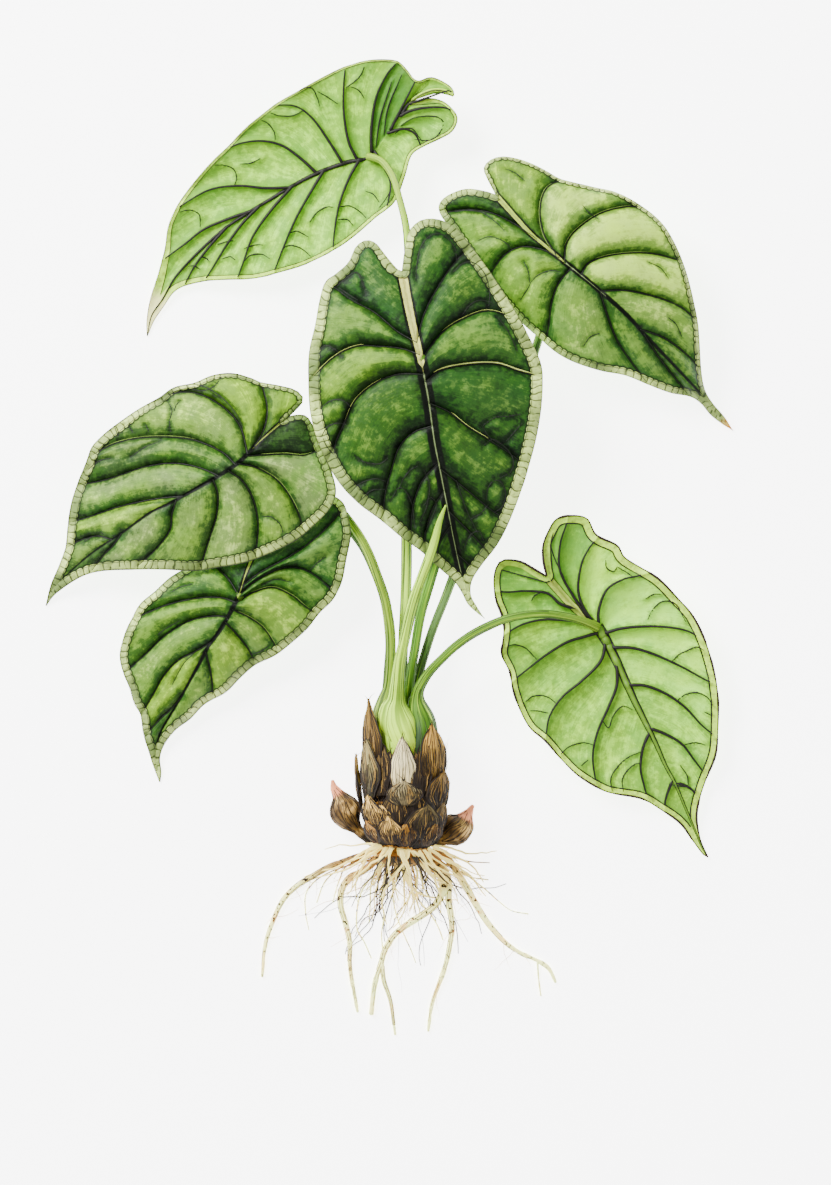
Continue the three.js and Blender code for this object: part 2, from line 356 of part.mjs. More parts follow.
// Roots run from the underside of the corm, at height "from", down to the surface and along it.
const rootPlate = { at: [-3.5, -23.5, 12.5], radii: [11, 5.5, 8.5] };
const rootDrop = 26; // length over which a root comes down to the surface
const roots = [
  { from: 13, thick: 1.9, thin: 0.8, path: [
    [-9.5, -20], [-21, -24], [-35, -29], [-43, -33.5], [-49.5, -37.5], [-55.5, -43.5], [-60, -52.5],
    [-63.5, -63.5], [-65, -77.5]] },
  { from: 8, thick: 2, thin: 0.8, path: [
    [-11.5, -23], [-19.5, -30], [-26.5, -34], [-30, -39.5], [-30.5, -46], [-28.5, -53.5],
    [-26.5, -62.5], [-26.5, -72.5], [-25, -82.5], [-23, -93]] },
  { from: 16, thick: 2.2, thin: 1.2, path: [
    [-3.5, -22], [6, -26.5], [13, -32.5], [14.5, -39], [11.5, -45.5], [6, -50], [-1, -54.5],
    [-7, -59.5], [-11, -66], [-12.5, -71], [-15.5, -81], [-17, -94]] },
  { from: 1.5, thick: 1.3, thin: 0.7, path: [
    [-12.5, -70], [-11.5, -79], [-8.5, -88.5], [-6.5, -103]] },
  { from: 12, thick: 2.1, thin: 0.8, path: [
    [4.5, -20], [12.5, -27], [16.5, -34], [17, -44], [18.5, -55], [17.5, -64], [15.5, -73],
    [12.5, -81.5], [9.5, -90.5], [8, -101.5]] },
  { from: 8, thick: 2.2, thin: 0.8, path: [
    [4, -21], [15, -24.5], [20.5, -31.5], [25.5, -39.5], [30, -47.5], [35, -55], [41.5, -62],
    [48.5, -67], [56, -70.5], [61, -74], [64, -80]] },
  { from: 1.2, thick: 0.7, thin: 0.4, path: [
    [56, -70.5], [56.5, -78], [57.5, -86]] },
  { from: 12, thick: 0.6, thin: 0.35, path: [
    [-6, -24.5], [-7, -33], [-7.5, -41], [-6, -50.5], [-2, -60.5], [0.5, -66], [2.5, -71.5]] },
  { from: 15, thick: 0.6, thin: 0.35, path: [
    [0, -23.5], [2, -33], [3.5, -43], [9, -50], [12.5, -56], [14.5, -61.5]] },
  { from: 16, thick: 0.6, thin: 0.35, path: [
    [-9.5, -24], [-11.5, -35], [-12.5, -44], [-11.5, -50.5], [-12.5, -59.5], [-11.5, -69]] },
  { from: 9, thick: 0.6, thin: 0.35, path: [
    [-9, -24.5], [-16.5, -35], [-17.5, -46], [-18, -54]] },
  { from: 8, thick: 0.6, thin: 0.35, path: [
    [-9, -25], [-21, -39.5], [-23.5, -55], [-20, -62.5], [-17, -69.5]] },
  { from: 9, thick: 0.55, thin: 0.35, path: [
    [3, -23], [20, -30], [31, -37.5], [38.5, -44], [44.5, -48.5], [52, -50]] },
  { from: 11, thick: 0.55, thin: 0.35, path: [
    [3.5, -22.5], [18.5, -25], [26.5, -27], [35, -27.5]] },
  { from: 14, thick: 0.55, thin: 0.35, path: [
    [3.5, -23.5], [17.5, -29], [25.5, -33.5], [34.5, -35]] },
  { from: 9, thick: 0.55, thin: 0.35, path: [
    [-9.5, -22.5], [-23, -24.5], [-31, -30], [-37.5, -36], [-41, -45]] },
  { from: 14, thick: 0.55, thin: 0.35, path: [
    [-9.5, -23], [-26.5, -28], [-31, -35], [-34, -45]] },
  { from: 8, thick: 0.5, thin: 0.35, path: [
    [-9, -23.5], [-35, -31.5], [-45, -39.5], [-46, -48.5], [-44.5, -57]] }
];
const fineRoots = { count: 16, thick: 0.5, thin: 0.35, shortest: 18, longest: 62, bend: 3.5 };

// One smooth line through hand-picked points, read by share of its length
class Track {
  constructor(points, count = 240) {
    const places = points.map(([x, y, z = 0]) => new THREE.Vector3(x, y, z));
    const curve = new THREE.CatmullRomCurve3(places, false, "catmullrom", 0.5);
    curve.arcLengthDivisions = 3 * count;
    this.places = curve.getSpacedPoints(count);
  }
  at(share) {
    const place = THREE.MathUtils.clamp(share, 0, 1) * (this.places.length - 1);
    const low = Math.min(Math.floor(place), this.places.length - 2);
    return this.places[low].clone().lerp(this.places[low + 1], place - low);
  }
  nearest([x, y], from = 0) {
    const last = this.places.length - 1;
    let best = Math.ceil(from * last);
    for (let i = best; i <= last; i++) {
      const better = Math.hypot(this.places[i].x - x, this.places[i].y - y)
        < Math.hypot(this.places[best].x - x, this.places[best].y - y);
      if (better) best = i;
    }
    return best / last;
  }
}

// A closed mesh as a solid; a mesh that came out inside out is turned round
function solid(points, faces) {
  const vertProperties = new Float32Array(points.flatMap(({ x, y, z }) => [x, y, z]));
  let volume = 0;
  for (const [a, b, c] of faces) {
    volume += points[a].dot(points[b].clone().cross(points[c]));
  }
  const turned = volume < 0 ? faces.map(([a, b, c]) => [a, c, b]) : faces;
  const triVerts = new Uint32Array(turned.flat());
  return new wasm.Manifold(new wasm.Mesh({ numProp: 3, vertProperties, triVerts }));
}

function interpolate(keys, at) {
  let i = 0;
  while (i < keys.length - 2 && at > keys[i + 1][0]) i++;
  const [[x0, y0], [x1, y1]] = [keys[i], keys[i + 1]];
  return y0 + (y1 - y0) * THREE.MathUtils.clamp((at - x0) / (x1 - x0 || 1), 0, 1);
}

// Half a blade: the stations where a vein leaves the spine, with both ends and its own line
function bladeSide(leaf, spine, index) {
  const start = leaf.spine[0];
  const end = leaf.spine.at(-1);
  const outline = new Track([start, ...leaf.margins[index], end].map(([x, y]) => [x, y]));
  const stations = [{ along: 0, around: 0, rise: start[2], depth: 0 }];
  for (const { rise, depth, path } of leaf.veins[index]) {
    const before = stations.at(-1);
    const along = Math.max(spine.nearest(path[0]), before.along + veinSpacing);
    stations.push({ along, around: outline.nearest(path.at(-1), before.around), rise, depth, path });
  }
  const drip = spine.at(dripStart);
  const around = outline.nearest([drip.x, drip.y], stations.at(-1).around + 0.01);
  stations.push({ along: dripStart, around, rise: drip.z, depth: 0, path: [] });
  stations.push({ along: 1, around: 1, rise: end[2], depth: 0 });

  const rises = stations.map((station) => [station.around, station.rise]);
  const rim = (share) => outline.at(share).setZ(interpolate(rises, share));
  for (const station of stations) {
    station.inner = spine.at(station.along);
    station.outer = rim(station.around);
    if (station.path) {
      const middle = station.path.slice(1, -1);
      const ends = [station.inner, station.outer].map(({ x, y }) => [x, y]);
      station.line = new Track([ends[0], ...middle, ends[1]], 60);
    }
  }
  return { stations, rim };
}

function alongVein({ inner, outer, line }, share) {
  if (!line) return inner.clone();
  return line.at(share).setZ(inner.z + (outer.z - inner.z) * share);
}

// A point of the blade between two veins, from the four lines that bound its cell
function bladePoint({ stations, rim }, spine, along, share, up) {
  let i = 0;
  while (i < stations.length - 2 && along > stations[i + 1].along) i++;
  const [from, to] = [stations[i], stations[i + 1]];
  const t = (along - from.along) / (to.along - from.along);
  const around = from.around + (to.around - from.around) * (i === 0 ? Math.sqrt(t) : t);
  const edge = rim(around);
  const lines = alongVein(from, share).lerp(alongVein(to, share), t);
  const ends = spine.at(along).lerp(edge, share);
  const corners = from.inner.clone().lerp(to.inner, t)
    .lerp(from.outer.clone().lerp(to.outer, t), share);
  const point = lines.add(ends).sub(corners);

  const width = from.outer.distanceTo(to.outer);
  const depth = 0.5 * (from.depth + to.depth) * Math.min(1, width / fullCell);
  point.z += up * swell * depth * Math.sin(Math.PI * t) * Math.sin(Math.PI * share ** 0.8);
  point.z += marginWave * Math.sin(2 * Math.PI * wavesPerSide * around) * share ** 4
    * Math.sin(Math.PI * around);
  return point;
}

// The rows at which both halves of a blade are cut: every vein, and steps between them
function bladeRows(sides) {
  const cuts = [...new Set(sides.flatMap(({ stations }) => stations.map(({ along }) => along)))];
  cuts.sort((a, b) => a - b);
  const rows = [];
  for (let i = 0; i + 1 < cuts.length; i++) {
    const reach = Math.max(...sides.map(({ stations, rim }) => {
      const keys = stations.map(({ along, around }) => [along, around]);
      const [a, b] = [cuts[i], cuts[i + 1]].map((cut) => rim(interpolate(keys, cut)));
      return a.distanceTo(b);
    }));
    const steps = Math.max(1, Math.ceil(reach / rowStep));
    for (let k = 0; k < steps; k++) {
      const t = i === 0 ? (k / steps) ** 2 : k / steps;
      rows.push(cuts[i] + (cuts[i + 1] - cuts[i]) * t);
    }
  }
  return [...rows, 1];
}

function blade(leaf, grow) {
  const up = leaf.faceUp ? 1 : -1;
  const spine = new Track(leaf.spine);
  const sides = [0, 1].map((index) => bladeSide(leaf, spine, index));
  const rows = bladeRows(sides);
  const points = [];
  const faces = [];
  const half = bladeThickness / 2 + grow;

  const place = (point, above, below) => {
    const middle = Math.max(point.z, half);
    points.push(new THREE.Vector3(point.x, point.y, middle + half + above));
    points.push(new THREE.Vector3(point.x, point.y, Math.max(middle - half - below, -grow)));
    return points.length - 2;
  };
  const ridge = (along) => midribRidge * (1 - along);
  const upperRib = (along) => sinusRib * (along < ridgeReach ? 1 : 0);
  const core = rows.map((along) => {
    const ridges = [upperRib(along), ridge(along)];
    return place(spine.at(along), ...(leaf.faceUp ? ridges : ridges.reverse()));
  });
  for (const [index, side] of sides.entries()) {
    const turn = index === 0 ? 1 : -1;
    const ends = [0, rows.length - 1];
    const net = rows.map((along, row) => [core[row], ...columns.map((share) => (
      ends.includes(row) ? core[row] : place(bladePoint(side, spine, along, share, up), 0, 0)
    ))]);
    const face = (a, b, c) => {
      if (a === b || b === c || a === c) return;
      faces.push(turn > 0 ? [a, b, c] : [a, c, b]);
      faces.push(turn > 0 ? [a + 1, c + 1, b + 1] : [a + 1, b + 1, c + 1]);
    };
    for (let row = 0; row + 1 < rows.length; row++) {
      for (let column = 0; column < columns.length; column++) {
        const [a, b] = [net[row][column], net[row + 1][column]];
        const [c, d] = [net[row + 1][column + 1], net[row][column + 1]];
        face(a, b, c);
        face(a, c, d);
      }
      const [a, b] = [net[row].at(-1), net[row + 1].at(-1)];
      faces.push(turn > 0 ? [a, b, b + 1] : [a, b + 1, b]);
      faces.push(turn > 0 ? [a, b + 1, a + 1] : [a, a + 1, b + 1]);
    }
  }
  return solid(points, faces);
}

// A tapering round part along a route, with closed ends
function stalk(route, sides, stepsPerPoint, grow) {
  const middle = new THREE.CatmullRomCurve3(route.map(([x, y, z]) => new THREE.Vector3(x, y, z)));
  const sizes = new THREE.CatmullRomCurve3(route.map(([, , , w, d]) => new THREE.Vector3(w, d, 0)));
  const steps = (route.length - 1) * stepsPerPoint;
  const upward = new THREE.Vector3(0, 0, 1);
  const points = [];
  const faces = [];
  for (let step = 0; step <= steps; step++) {
    const share = step / steps;
    const centre = middle.getPoint(share);
    const { x: width, y: depth } = sizes.getPoint(share);
    const forward = middle.getTangent(share);
    const across = forward.clone().cross(upward).normalize();
    const outward = across.clone().cross(forward);
    for (let k = 0; k < sides; k++) {
      const angle = (2 * Math.PI * k) / sides;
      const point = centre.clone()
        .addScaledVector(across, Math.cos(angle) * (Math.max(width, 0.2) + grow))
        .addScaledVector(outward, Math.sin(angle) * (Math.max(depth, 0.2) + grow));
      points.push(point.setZ(Math.max(point.z, -grow)));
    }
    if (step === 0) continue;
    for (let k = 0; k < sides; k++) {
      const [a, b] = [(step - 1) * sides + k, (step - 1) * sides + ((k + 1) % sides)];
      faces.push([a, b, b + sides], [a, b + sides, a + sides]);
    }
  }
  for (const [share, first] of [[0, 0], [1, steps * sides]]) {
    const beyond = middle.getTangent(share).multiplyScalar(share ? grow : -grow);
    const centre = points.push(middle.getPoint(share).add(beyond)) - 1;
    points[centre].z = Math.max(points[centre].z, -grow);
    for (let k = 0; k < sides; k++) {
      const [a, b] = [first + k, first + ((k + 1) % sides)];
      faces.push(share ? [a, b, centre] : [b, a, centre]);
    }
  }
  return solid(points, faces);
}

function aroundCrown(angle, radius, y, stretch = 1) {
  const x = crownX + radius * Math.cos(angle);
  return new THREE.Vector3(x, y, crownHeight + radius * stretch * Math.sin(angle));
}

// The swollen underground stem: rings of old leaf scars, and a flat where it lies
function corm(grow) {
  const points = [];
  const faces = [];
  const rings = cormProfile.length;
  for (const [ring, [along, radius]] of cormProfile.entries()) {
    const y = along + (ring === 0 ? grow : 0) - (ring === rings - 1 ? grow : 0);
    for (let k = 0; k < cormSides; k++) {
      const angle = (2 * Math.PI * k) / cormSides;
      const bump = 1 + 0.018 * Math.sin(5 * angle + 0.6 * y);
      const climb = cormTilt * Math.sin(2 * angle + 0.15 * y);
      const point = aroundCrown(angle, radius * bump + grow, y + climb, cormStretch);
      points.push(point.setZ(Math.max(point.z, -grow)));
    }
  }
  for (let ring = 0; ring + 1 < rings; ring++) {
    for (let k = 0; k < cormSides; k++) {
      const next = (k + 1) % cormSides;
      const [a, b] = [ring * cormSides + k, ring * cormSides + next];
      faces.push([a, b, b + cormSides], [a, b + cormSides, a + cormSides]);
    }
  }
  for (const [ring, away] of [[0, grow], [rings - 1, -grow]]) {
    const centre = points.push(aroundCrown(0, 0, cormProfile[ring][0] + away)) - 1;
    for (let k = 0; k < cormSides; k++) {
      const [a, b] = [ring * cormSides + k, ring * cormSides + ((k + 1) % cormSides)];
      faces.push(ring ? [a, b, centre] : [b, a, centre]);
    }
  }
  return solid(points, faces);
}

// One papery scale: a thin shell round the crown that narrows to a point and stands off at its tip
function crownScale({ angle, base, tip, half, radii }, grow) {
  const [across, upward] = [6, 5];
  const points = [];
  const faces = [];
  const thick = scaleThickness / 2 + grow;
  for (let row = 0; row <= upward; row++) {
    const v = row / upward;
    const radius = radii[0] * (1 - v) ** 2 + (4 * radii[1] - radii[0] - radii[2]) * v * (1 - v)
      + radii[2] * v ** 2;
    const width = half * (0.78 + 0.22 * Math.sin(Math.PI * v)) * (1 - v ** 2.6) ** 0.8 + 0.35 + grow;
    const y = base + (tip - base) * v + (row === 0 ? -grow : 0) + (row === upward ? grow : 0);
    for (let column = 0; column <= across; column++) {
      const u = (2 * column) / across - 1;
      const keel = 0.5 * v * (1 - Math.abs(u) - u * u);
      const turn = THREE.MathUtils.degToRad(angle) + (u * width) / radius;
      for (const side of [thick, -thick]) {
        points.push(aroundCrown(turn, radius + keel + side, y, cormStretch));
      }
    }
  }
  const at = (row, column) => 2 * (row * (across + 1) + column);
  for (let row = 0; row < upward; row++) {
    for (let column = 0; column < across; column++) {
      const [a, b] = [at(row, column), at(row, column + 1)];
      const [c, d] = [at(row + 1, column + 1), at(row + 1, column)];
      faces.push([a, b, c], [a, c, d], [a + 1, c + 1, b + 1], [a + 1, d + 1, c + 1]);
    }
  }
  const border = [];
  for (let column = 0; column < across; column++) border.push(at(0, column));
  for (let row = 0; row < upward; row++) border.push(at(row, across));
  for (let column = across; column > 0; column--) border.push(at(upward, column));
  for (let row = upward; row > 0; row--) border.push(at(row, 0));
  for (let i = 0; i < border.length; i++) {
    const [a, b] = [border[i], border[(i + 1) % border.length]];
    faces.push([a, a + 1, b + 1], [a, b + 1, b]);
  }
  return solid(points, faces);
}

// A small random source that gives the same draws each time
function seededRandom(seed) {
  let state = seed;
  return () => {
    state = (state * 1664525 + 1013904223) % 4294967296;
    return state / 4294967296;
  };
}

// A root as a stalk's route: down from the corm, then along the surface, thinning to its tip
function rootRoute({ from, thick, thin, path }) {
  let run = 0;
  return path.map(([x, y], i) => {
    if (i > 0) run += Math.hypot(x - path[i - 1][0], y - path[i - 1][1]);
    const share = i / (path.length - 1);
    const radius = thick + (thin - thick) * share;
    const fall = Math.max(0, 1 - run / rootDrop) ** 1.6;
    return [x, y, radius + Math.max(0, from - radius) * fall, radius, radius];
  });
}

function fineRootPaths() {
  const random = seededRandom(11);
  const { count, thick, thin, shortest, longest, bend } = fineRoots;
  const paths = [];
  for (let i = 0; i < count; i++) {
    const spread = (i + 0.5) / count - 0.5;
    const heading = -Math.PI / 2 + spread * 2.5 + (random() - 0.5) * 0.2;
    const length = shortest + (longest - shortest) * random() * (1 - 1.2 * Math.abs(spread));
    const from = 8 + 9 * random();
    let [x, y] = [rootPlate.at[0] + 13 * spread, rootPlate.at[1] - 1];
    const path = [[x, y]];
    for (let step = 1; step <= 5; step++) {
      const turn = heading * 0.75 - (Math.PI / 2) * 0.25 + (random() - 0.5) * 0.5;
      x += (Math.cos(turn) * length) / 5 + (random() - 0.5) * bend;
      y += (Math.sin(turn) * length) / 5;
      path.push([x, y]);
    }
    paths.push({ from, thick, thin, path });
  }
  return paths;
}

function rootPlateSolid(grow) {
  const ball = new THREE.SphereGeometry(1, 14, 8);
  const { index, attributes: { position } } = ball;
  const seen = new Map();
  const points = [];
  const remap = [];
  for (let i = 0; i < position.count; i++) {
    const place = new THREE.Vector3().fromBufferAttribute(position, i);
    const key = place.toArray().map((value) => Math.round(value * 1e5)).join();
    if (!seen.has(key)) {
      seen.set(key, points.length);
      const scaled = place.clone().multiply(new THREE.Vector3(...rootPlate.radii).addScalar(grow));
      points.push(scaled.add(new THREE.Vector3(...rootPlate.at)));
    }
    remap.push(seen.get(key));
  }
  const faces = [];
  for (let i = 0; i < index.count; i += 3) {
    const face = [0, 1, 2].map((k) => remap[index.getX(i + k)]);
    if (new Set(face).size === 3) faces.push(face);
  }
  return solid(points, faces);
}

function rootMass(grow) {
  let mass = rootPlateSolid(grow);
  for (const root of roots) {
    const sides = root.thick > 1 ? 6 : 3;
    mass = mass.add(stalk(rootRoute(root), sides, 1, grow));
  }
  for (const root of fineRootPaths()) {
    mass = mass.add(stalk(rootRoute(root), 3, 1, grow));
  }
  return mass;
}

const finishes = {
  blade: { color: 0x3f6b2e, roughness: 0.5 },
  bladeUnderside: { color: 0x9ab86a, roughness: 0.6 },
  petiole: { color: 0xa9c05a, roughness: 0.45 },
  sheath: { color: 0xd3dc8f, roughness: 0.5 },
  corm: { color: 0x4a2f1c, roughness: 0.85 },
  paperyScale: { color: 0x8a6234, roughness: 0.8 },
  cormel: { color: 0xb07a3f, roughness: 0.7 },
  root: { color: 0xe6dcc0, roughness: 0.8 }
};

const stalkPiece = (name, finish, steps) => ({
  name,
  finish,
  make: (grow) => stalk(stalks[name], stalkSides, steps, grow)
});
const pieces = [
  ...Object.entries(leaves).map(([name, leaf]) => ({
    name,
    finish: leaf.faceUp ? "blade" : "bladeUnderside",
    make: (grow) => blade(leaf, grow)
  })),
  stalkPiece("new_leaf_spike", "sheath", 1),
  stalkPiece("petiole_right_lower", "petiole", 1),
  stalkPiece("petiole_left_upper", "petiole", 1),
  stalkPiece("petiole_center", "petiole", 1),
  stalkPiece("petiole_left_lower", "petiole", 1),
  stalkPiece("petiole_top_left", "petiole", 1),
  stalkPiece("petiole_top_right", "petiole", 1),
  { name: "corm", finish: "corm", make: corm },
  stalkPiece("cormel_left", "cormel", 2),
  stalkPiece("cormel_right", "cormel", 2),
  { name: "roots", finish: "root", make: rootMass },
  ...Object.entries(crownScales).map(([name, shape]) => ({
    name,
    finish: "paperyScale",
    make: (grow) => crownScale(shape, grow)
  }))
];

function boxesMeet(a, b) {
  return [0, 1, 2].every((k) => a.min[k] < b.max[k] && b.min[k] < a.max[k]);
}

// Each piece is cut clear of the ones before it, and loose crumbs of the cut are dropped
const group = new THREE.Group();
const placed = [];
for (const { name, finish, make } of pieces) {
  let shape = make(0);
  for (const other of placed) {
    if (boxesMeet(shape.boundingBox(), other.boundingBox())) shape = shape.subtract(other);
  }
  const [largest] = shape.decompose().sort((a, b) => b.volume() - a.volume());
  placed.push(make(gap));

  const { numProp, vertProperties, triVerts } = largest.getMesh();
  const geometry = new THREE.BufferGeometry();
  const positions = new Float32Array((vertProperties.length / numProp) * 3);
  for (let i = 0; i < positions.length / 3; i++) {
    positions.set(vertProperties.slice(i * numProp, i * numProp + 3), i * 3);
  }
  geometry.setAttribute("position", new THREE.BufferAttribute(positions, 3));
  geometry.setIndex([...triVerts]);
  geometry.computeVertexNormals();
  const mesh = new THREE.Mesh(geometry, new THREE.MeshStandardMaterial(finishes[finish]));
  mesh.name = name;
  group.add(mesh);
}

export default group;
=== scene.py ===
# A dragon-scale alocasia, lifted with its roots bare and laid on a pale surface, seen from above.
import math
import random

import bmesh
import bpy
import numpy as np
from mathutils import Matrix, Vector, noise
from mathutils.bvhtree import BVHTree


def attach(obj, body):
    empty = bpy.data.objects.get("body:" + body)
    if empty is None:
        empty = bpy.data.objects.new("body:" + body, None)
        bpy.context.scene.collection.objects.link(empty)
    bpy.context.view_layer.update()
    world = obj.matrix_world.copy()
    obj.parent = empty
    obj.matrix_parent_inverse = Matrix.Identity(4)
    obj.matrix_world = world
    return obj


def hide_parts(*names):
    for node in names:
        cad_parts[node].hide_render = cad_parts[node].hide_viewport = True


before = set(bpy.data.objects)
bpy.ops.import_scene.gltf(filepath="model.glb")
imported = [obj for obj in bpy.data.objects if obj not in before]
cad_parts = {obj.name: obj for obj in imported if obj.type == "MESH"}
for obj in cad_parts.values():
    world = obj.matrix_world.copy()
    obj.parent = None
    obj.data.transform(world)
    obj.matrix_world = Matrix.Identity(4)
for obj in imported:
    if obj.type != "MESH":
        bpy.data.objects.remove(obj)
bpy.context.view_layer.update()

# The leaf blades: leathery, quilted between sunken veins on the upper face, with the veins raised
# on the paler underside, and with a pale stiffened margin. Each grows on the end of its own stalk,
# joined to it at the sinus. All sizes are in millimetres of the frame.
MM = 0.001
BLADE_THICK, THIN_EDGE = 1.1, 0.75  # the blade, and the share of it left at the margin
SWELL, FULL_CELL = 1.7, 30  # how far a cell swells when its veins are at least this far apart
MARGIN_WAVE, WAVES = 0.9, 8  # height and number of the waves along each margin
RIDGE, RIB_REACH = 0.9, 0.28  # the rib's height, and the share of the spine that it reaches
DRIP_START = 0.93  # the share of the spine where the narrow tip begins
VEIN_SPACING = 0.012  # the least share of the spine between two veins
BEAD = 3.1  # length of one bead of the margin
SPINE_STEPS, VEIN_STEPS, NERVE_STEPS = 240, 60, 24
ROW_STEP, ROW_POINTS = 1.15, 41
BY_SPINE, BY_MARGIN = (0, 0.7, 1.5), (5, 3.6, 2.4, 1.4, 0.6, 0)  # where a row's points stand close

# For each blade: its spine from the sinus to the tip and its two margins; the veins of each side,
# with the height of their ends, how full the cell beside them is, and their paths; how light and
# how yellow the cells of each side are; and the paths of the fine nerves.
blades = {}
blades["center"] = dict(
    spine=[
        (-3.5, 230, 48), (0.5, 209.5, 51), (4.5, 192.5, 53), (8, 174.5, 50), (10.5, 157, 46),
        (13, 144.5, 42), (16, 129.5, 37), (19.5, 112, 31), (22.5, 99, 26.5), (25.5, 90, 23.5),
        (28.5, 84, 21.5), (32.5, 80, 20.5)],
    margins=([
        (-2, 240.5), (-0.5, 247), (4.5, 252), (12, 252.5), (19.5, 249), (26, 241.5), (34.5, 230),
        (43.5, 216.5), (51, 203), (56.5, 191), (57.5, 181), (56.5, 168), (53.5, 153), (48.5, 136),
        (43.5, 123), (38, 112), (31, 103), (27, 96.5), (26.5, 90.5), (29, 85.5)
    ], [
        (-7.5, 232), (-11, 237), (-14.5, 242), (-19, 243.5), (-23.5, 240.5), (-26.5, 234),
        (-32, 229), (-36.5, 225.5), (-39, 218), (-41, 207), (-43.5, 196), (-44, 185.5),
        (-43.5, 172.5), (-41.5, 161.5), (-37.5, 151), (-31.5, 140), (-23, 130.5), (-13, 123),
        (-3.5, 115), (4.5, 109.5), (12, 102.5), (19, 96.5), (22.5, 91.5), (25, 86.5), (28.5, 83)
    ]),
    veins=([
        (46, 1, [(3, 199), (6, 211), (12, 223), (19.5, 234), (26.5, 241)]),
        (43, 1, [(5, 191), (8.5, 197), (15, 204.5), (24, 210), (34.5, 213), (48, 209)]),
        (41, 1, [(6.5, 182), (13, 187), (24, 189.5), (37, 190), (47, 187), (57, 184)]),
        (38, 1, [(8.5, 173), (16.5, 169.5), (25, 163), (34, 157.5), (42.5, 152), (51, 145.5)]),
        (33, 0.8, [(13, 145), (20, 139.5), (28, 133), (35.5, 127), (43, 122)]),
        (29, 0.6, [(16.5, 127), (22.5, 121), (28.5, 115), (35, 108)]),
        (26, 0.4, [(20.5, 108.5), (23.5, 105.5), (27, 102), (30, 100.5)]),
    ], [
        (45, 1, [(3, 199), (-5.5, 204), (-15, 212), (-25, 217.5), (-32.5, 223), (-36.5, 225.5)]),
        (42, 1, [(4.5, 193.5), (-3.5, 196.5), (-13, 197.5), (-23.5, 197.5), (-33.5, 192.5),
            (-44, 182.5)]),
        (40, 1, [(6, 185.5), (-4.5, 185.5), (-14.5, 182), (-23.5, 174.5), (-28.5, 164),
            (-36, 148)]),
        (36, 1, [(9.5, 163.5), (1.5, 160.5), (-4.5, 154.5), (-8, 144.5), (-11, 132.5),
            (-11, 121)]),
        (33, 0.7, [(12.5, 147.5), (5.5, 140), (2, 131.5), (0.5, 122), (1.5, 111.5)]),
        (31, 0.6, [(15, 135.5), (10, 128), (7.5, 120.5), (6.5, 114), (8, 106.5)]),
        (27, 0.4, [(18, 121), (14, 115), (12, 109), (14, 100.5)]),
    ]),
    cells=([
        (0.6, 0.25), (0.52, 0.35), (0.62, 0.3), (0.45, 0.2), (0.5, 0.4), (0.58, 0.5), (0.58, 0.45),
        (0.5, 0.5), (0.8, 0.6)
    ], [
        (0.54, 0.15), (0.68, 0.45), (0.7, 0.8), (0.48, 0.45), (0.54, 0.45), (0.6, 0.5),
        (0.58, 0.45), (0.5, 0.5), (0.8, 0.6)
    ]),
    nerves=[
        [(-31.5, 223.5), (-27.5, 227), (-23, 229.5), (-20.5, 225), (-19, 220)],
        [(-30.5, 223), (-26.5, 220), (-22.5, 217.5)],
        [(-39.5, 196), (-36.5, 198), (-32.5, 196.5), (-29.5, 193)],
        [(-38.5, 171), (-34.5, 174), (-29.5, 174.5), (-26, 171.5), (-27.5, 167)],
        [(-38.5, 158.5), (-35.5, 163), (-31, 164.5), (-27.5, 164)],
        [(-27.5, 167), (-30, 161.5), (-32, 157), (-32.5, 151.5)],
        [(-37.5, 158), (-36, 154.5), (-33, 151)],
        [(-23, 150), (-19, 147.5), (-13, 147), (-9.5, 149.5)],
        [(-26, 134.5), (-21.5, 138.5), (-15, 140.5), (-10.5, 139.5)],
        [(-21, 131.5), (-16.5, 135.5), (-11, 136)],
        [(-8, 131.5), (-5, 136.5), (-2, 135.5), (1, 129), (2, 120.5)],
        [(3.5, 146), (0.5, 144.5), (-2.5, 141), (-4.5, 137)],
        [(6, 144.5), (8.5, 138), (7.5, 129.5), (4.5, 122)],
        [(6, 129), (9, 132.5), (11.5, 129.5), (9.5, 123.5), (6, 116.5)],
        [(2.5, 226.5), (3.5, 236), (6, 242.5), (10.5, 246), (15.5, 245), (19.5, 239.5), (20, 234)],
        [(18.5, 229.5), (23, 233.5), (28, 233.5), (32.5, 228.5), (34.5, 221), (34, 215)],
        [(35.5, 216.5), (30.5, 217.5), (26, 215.5), (22.5, 211)],
        [(37.5, 210.5), (41.5, 205.5), (44.5, 200), (46.5, 195.5)],
        [(31.5, 163.5), (37, 167), (42.5, 167.5), (48, 168.5)],
        [(31, 163.5), (34.5, 158.5), (39.5, 155.5)],
        [(41.5, 156.5), (45, 160.5), (48.5, 164.5)],
        [(32, 155), (36, 157.5), (41, 154.5), (44.5, 149.5), (44, 144), (39, 141)],
        [(33, 131.5), (34, 137), (37, 140), (40, 138.5), (41.5, 133.5), (40, 128.5), (36.5, 126)],
        [(20, 140), (22.5, 132.5), (25.5, 125), (29.5, 117)],
        [(26, 123), (30.5, 125.5), (34, 129.5)],
        [(23.5, 110.5), (26, 116), (30, 118), (32, 114)],
    ],
)
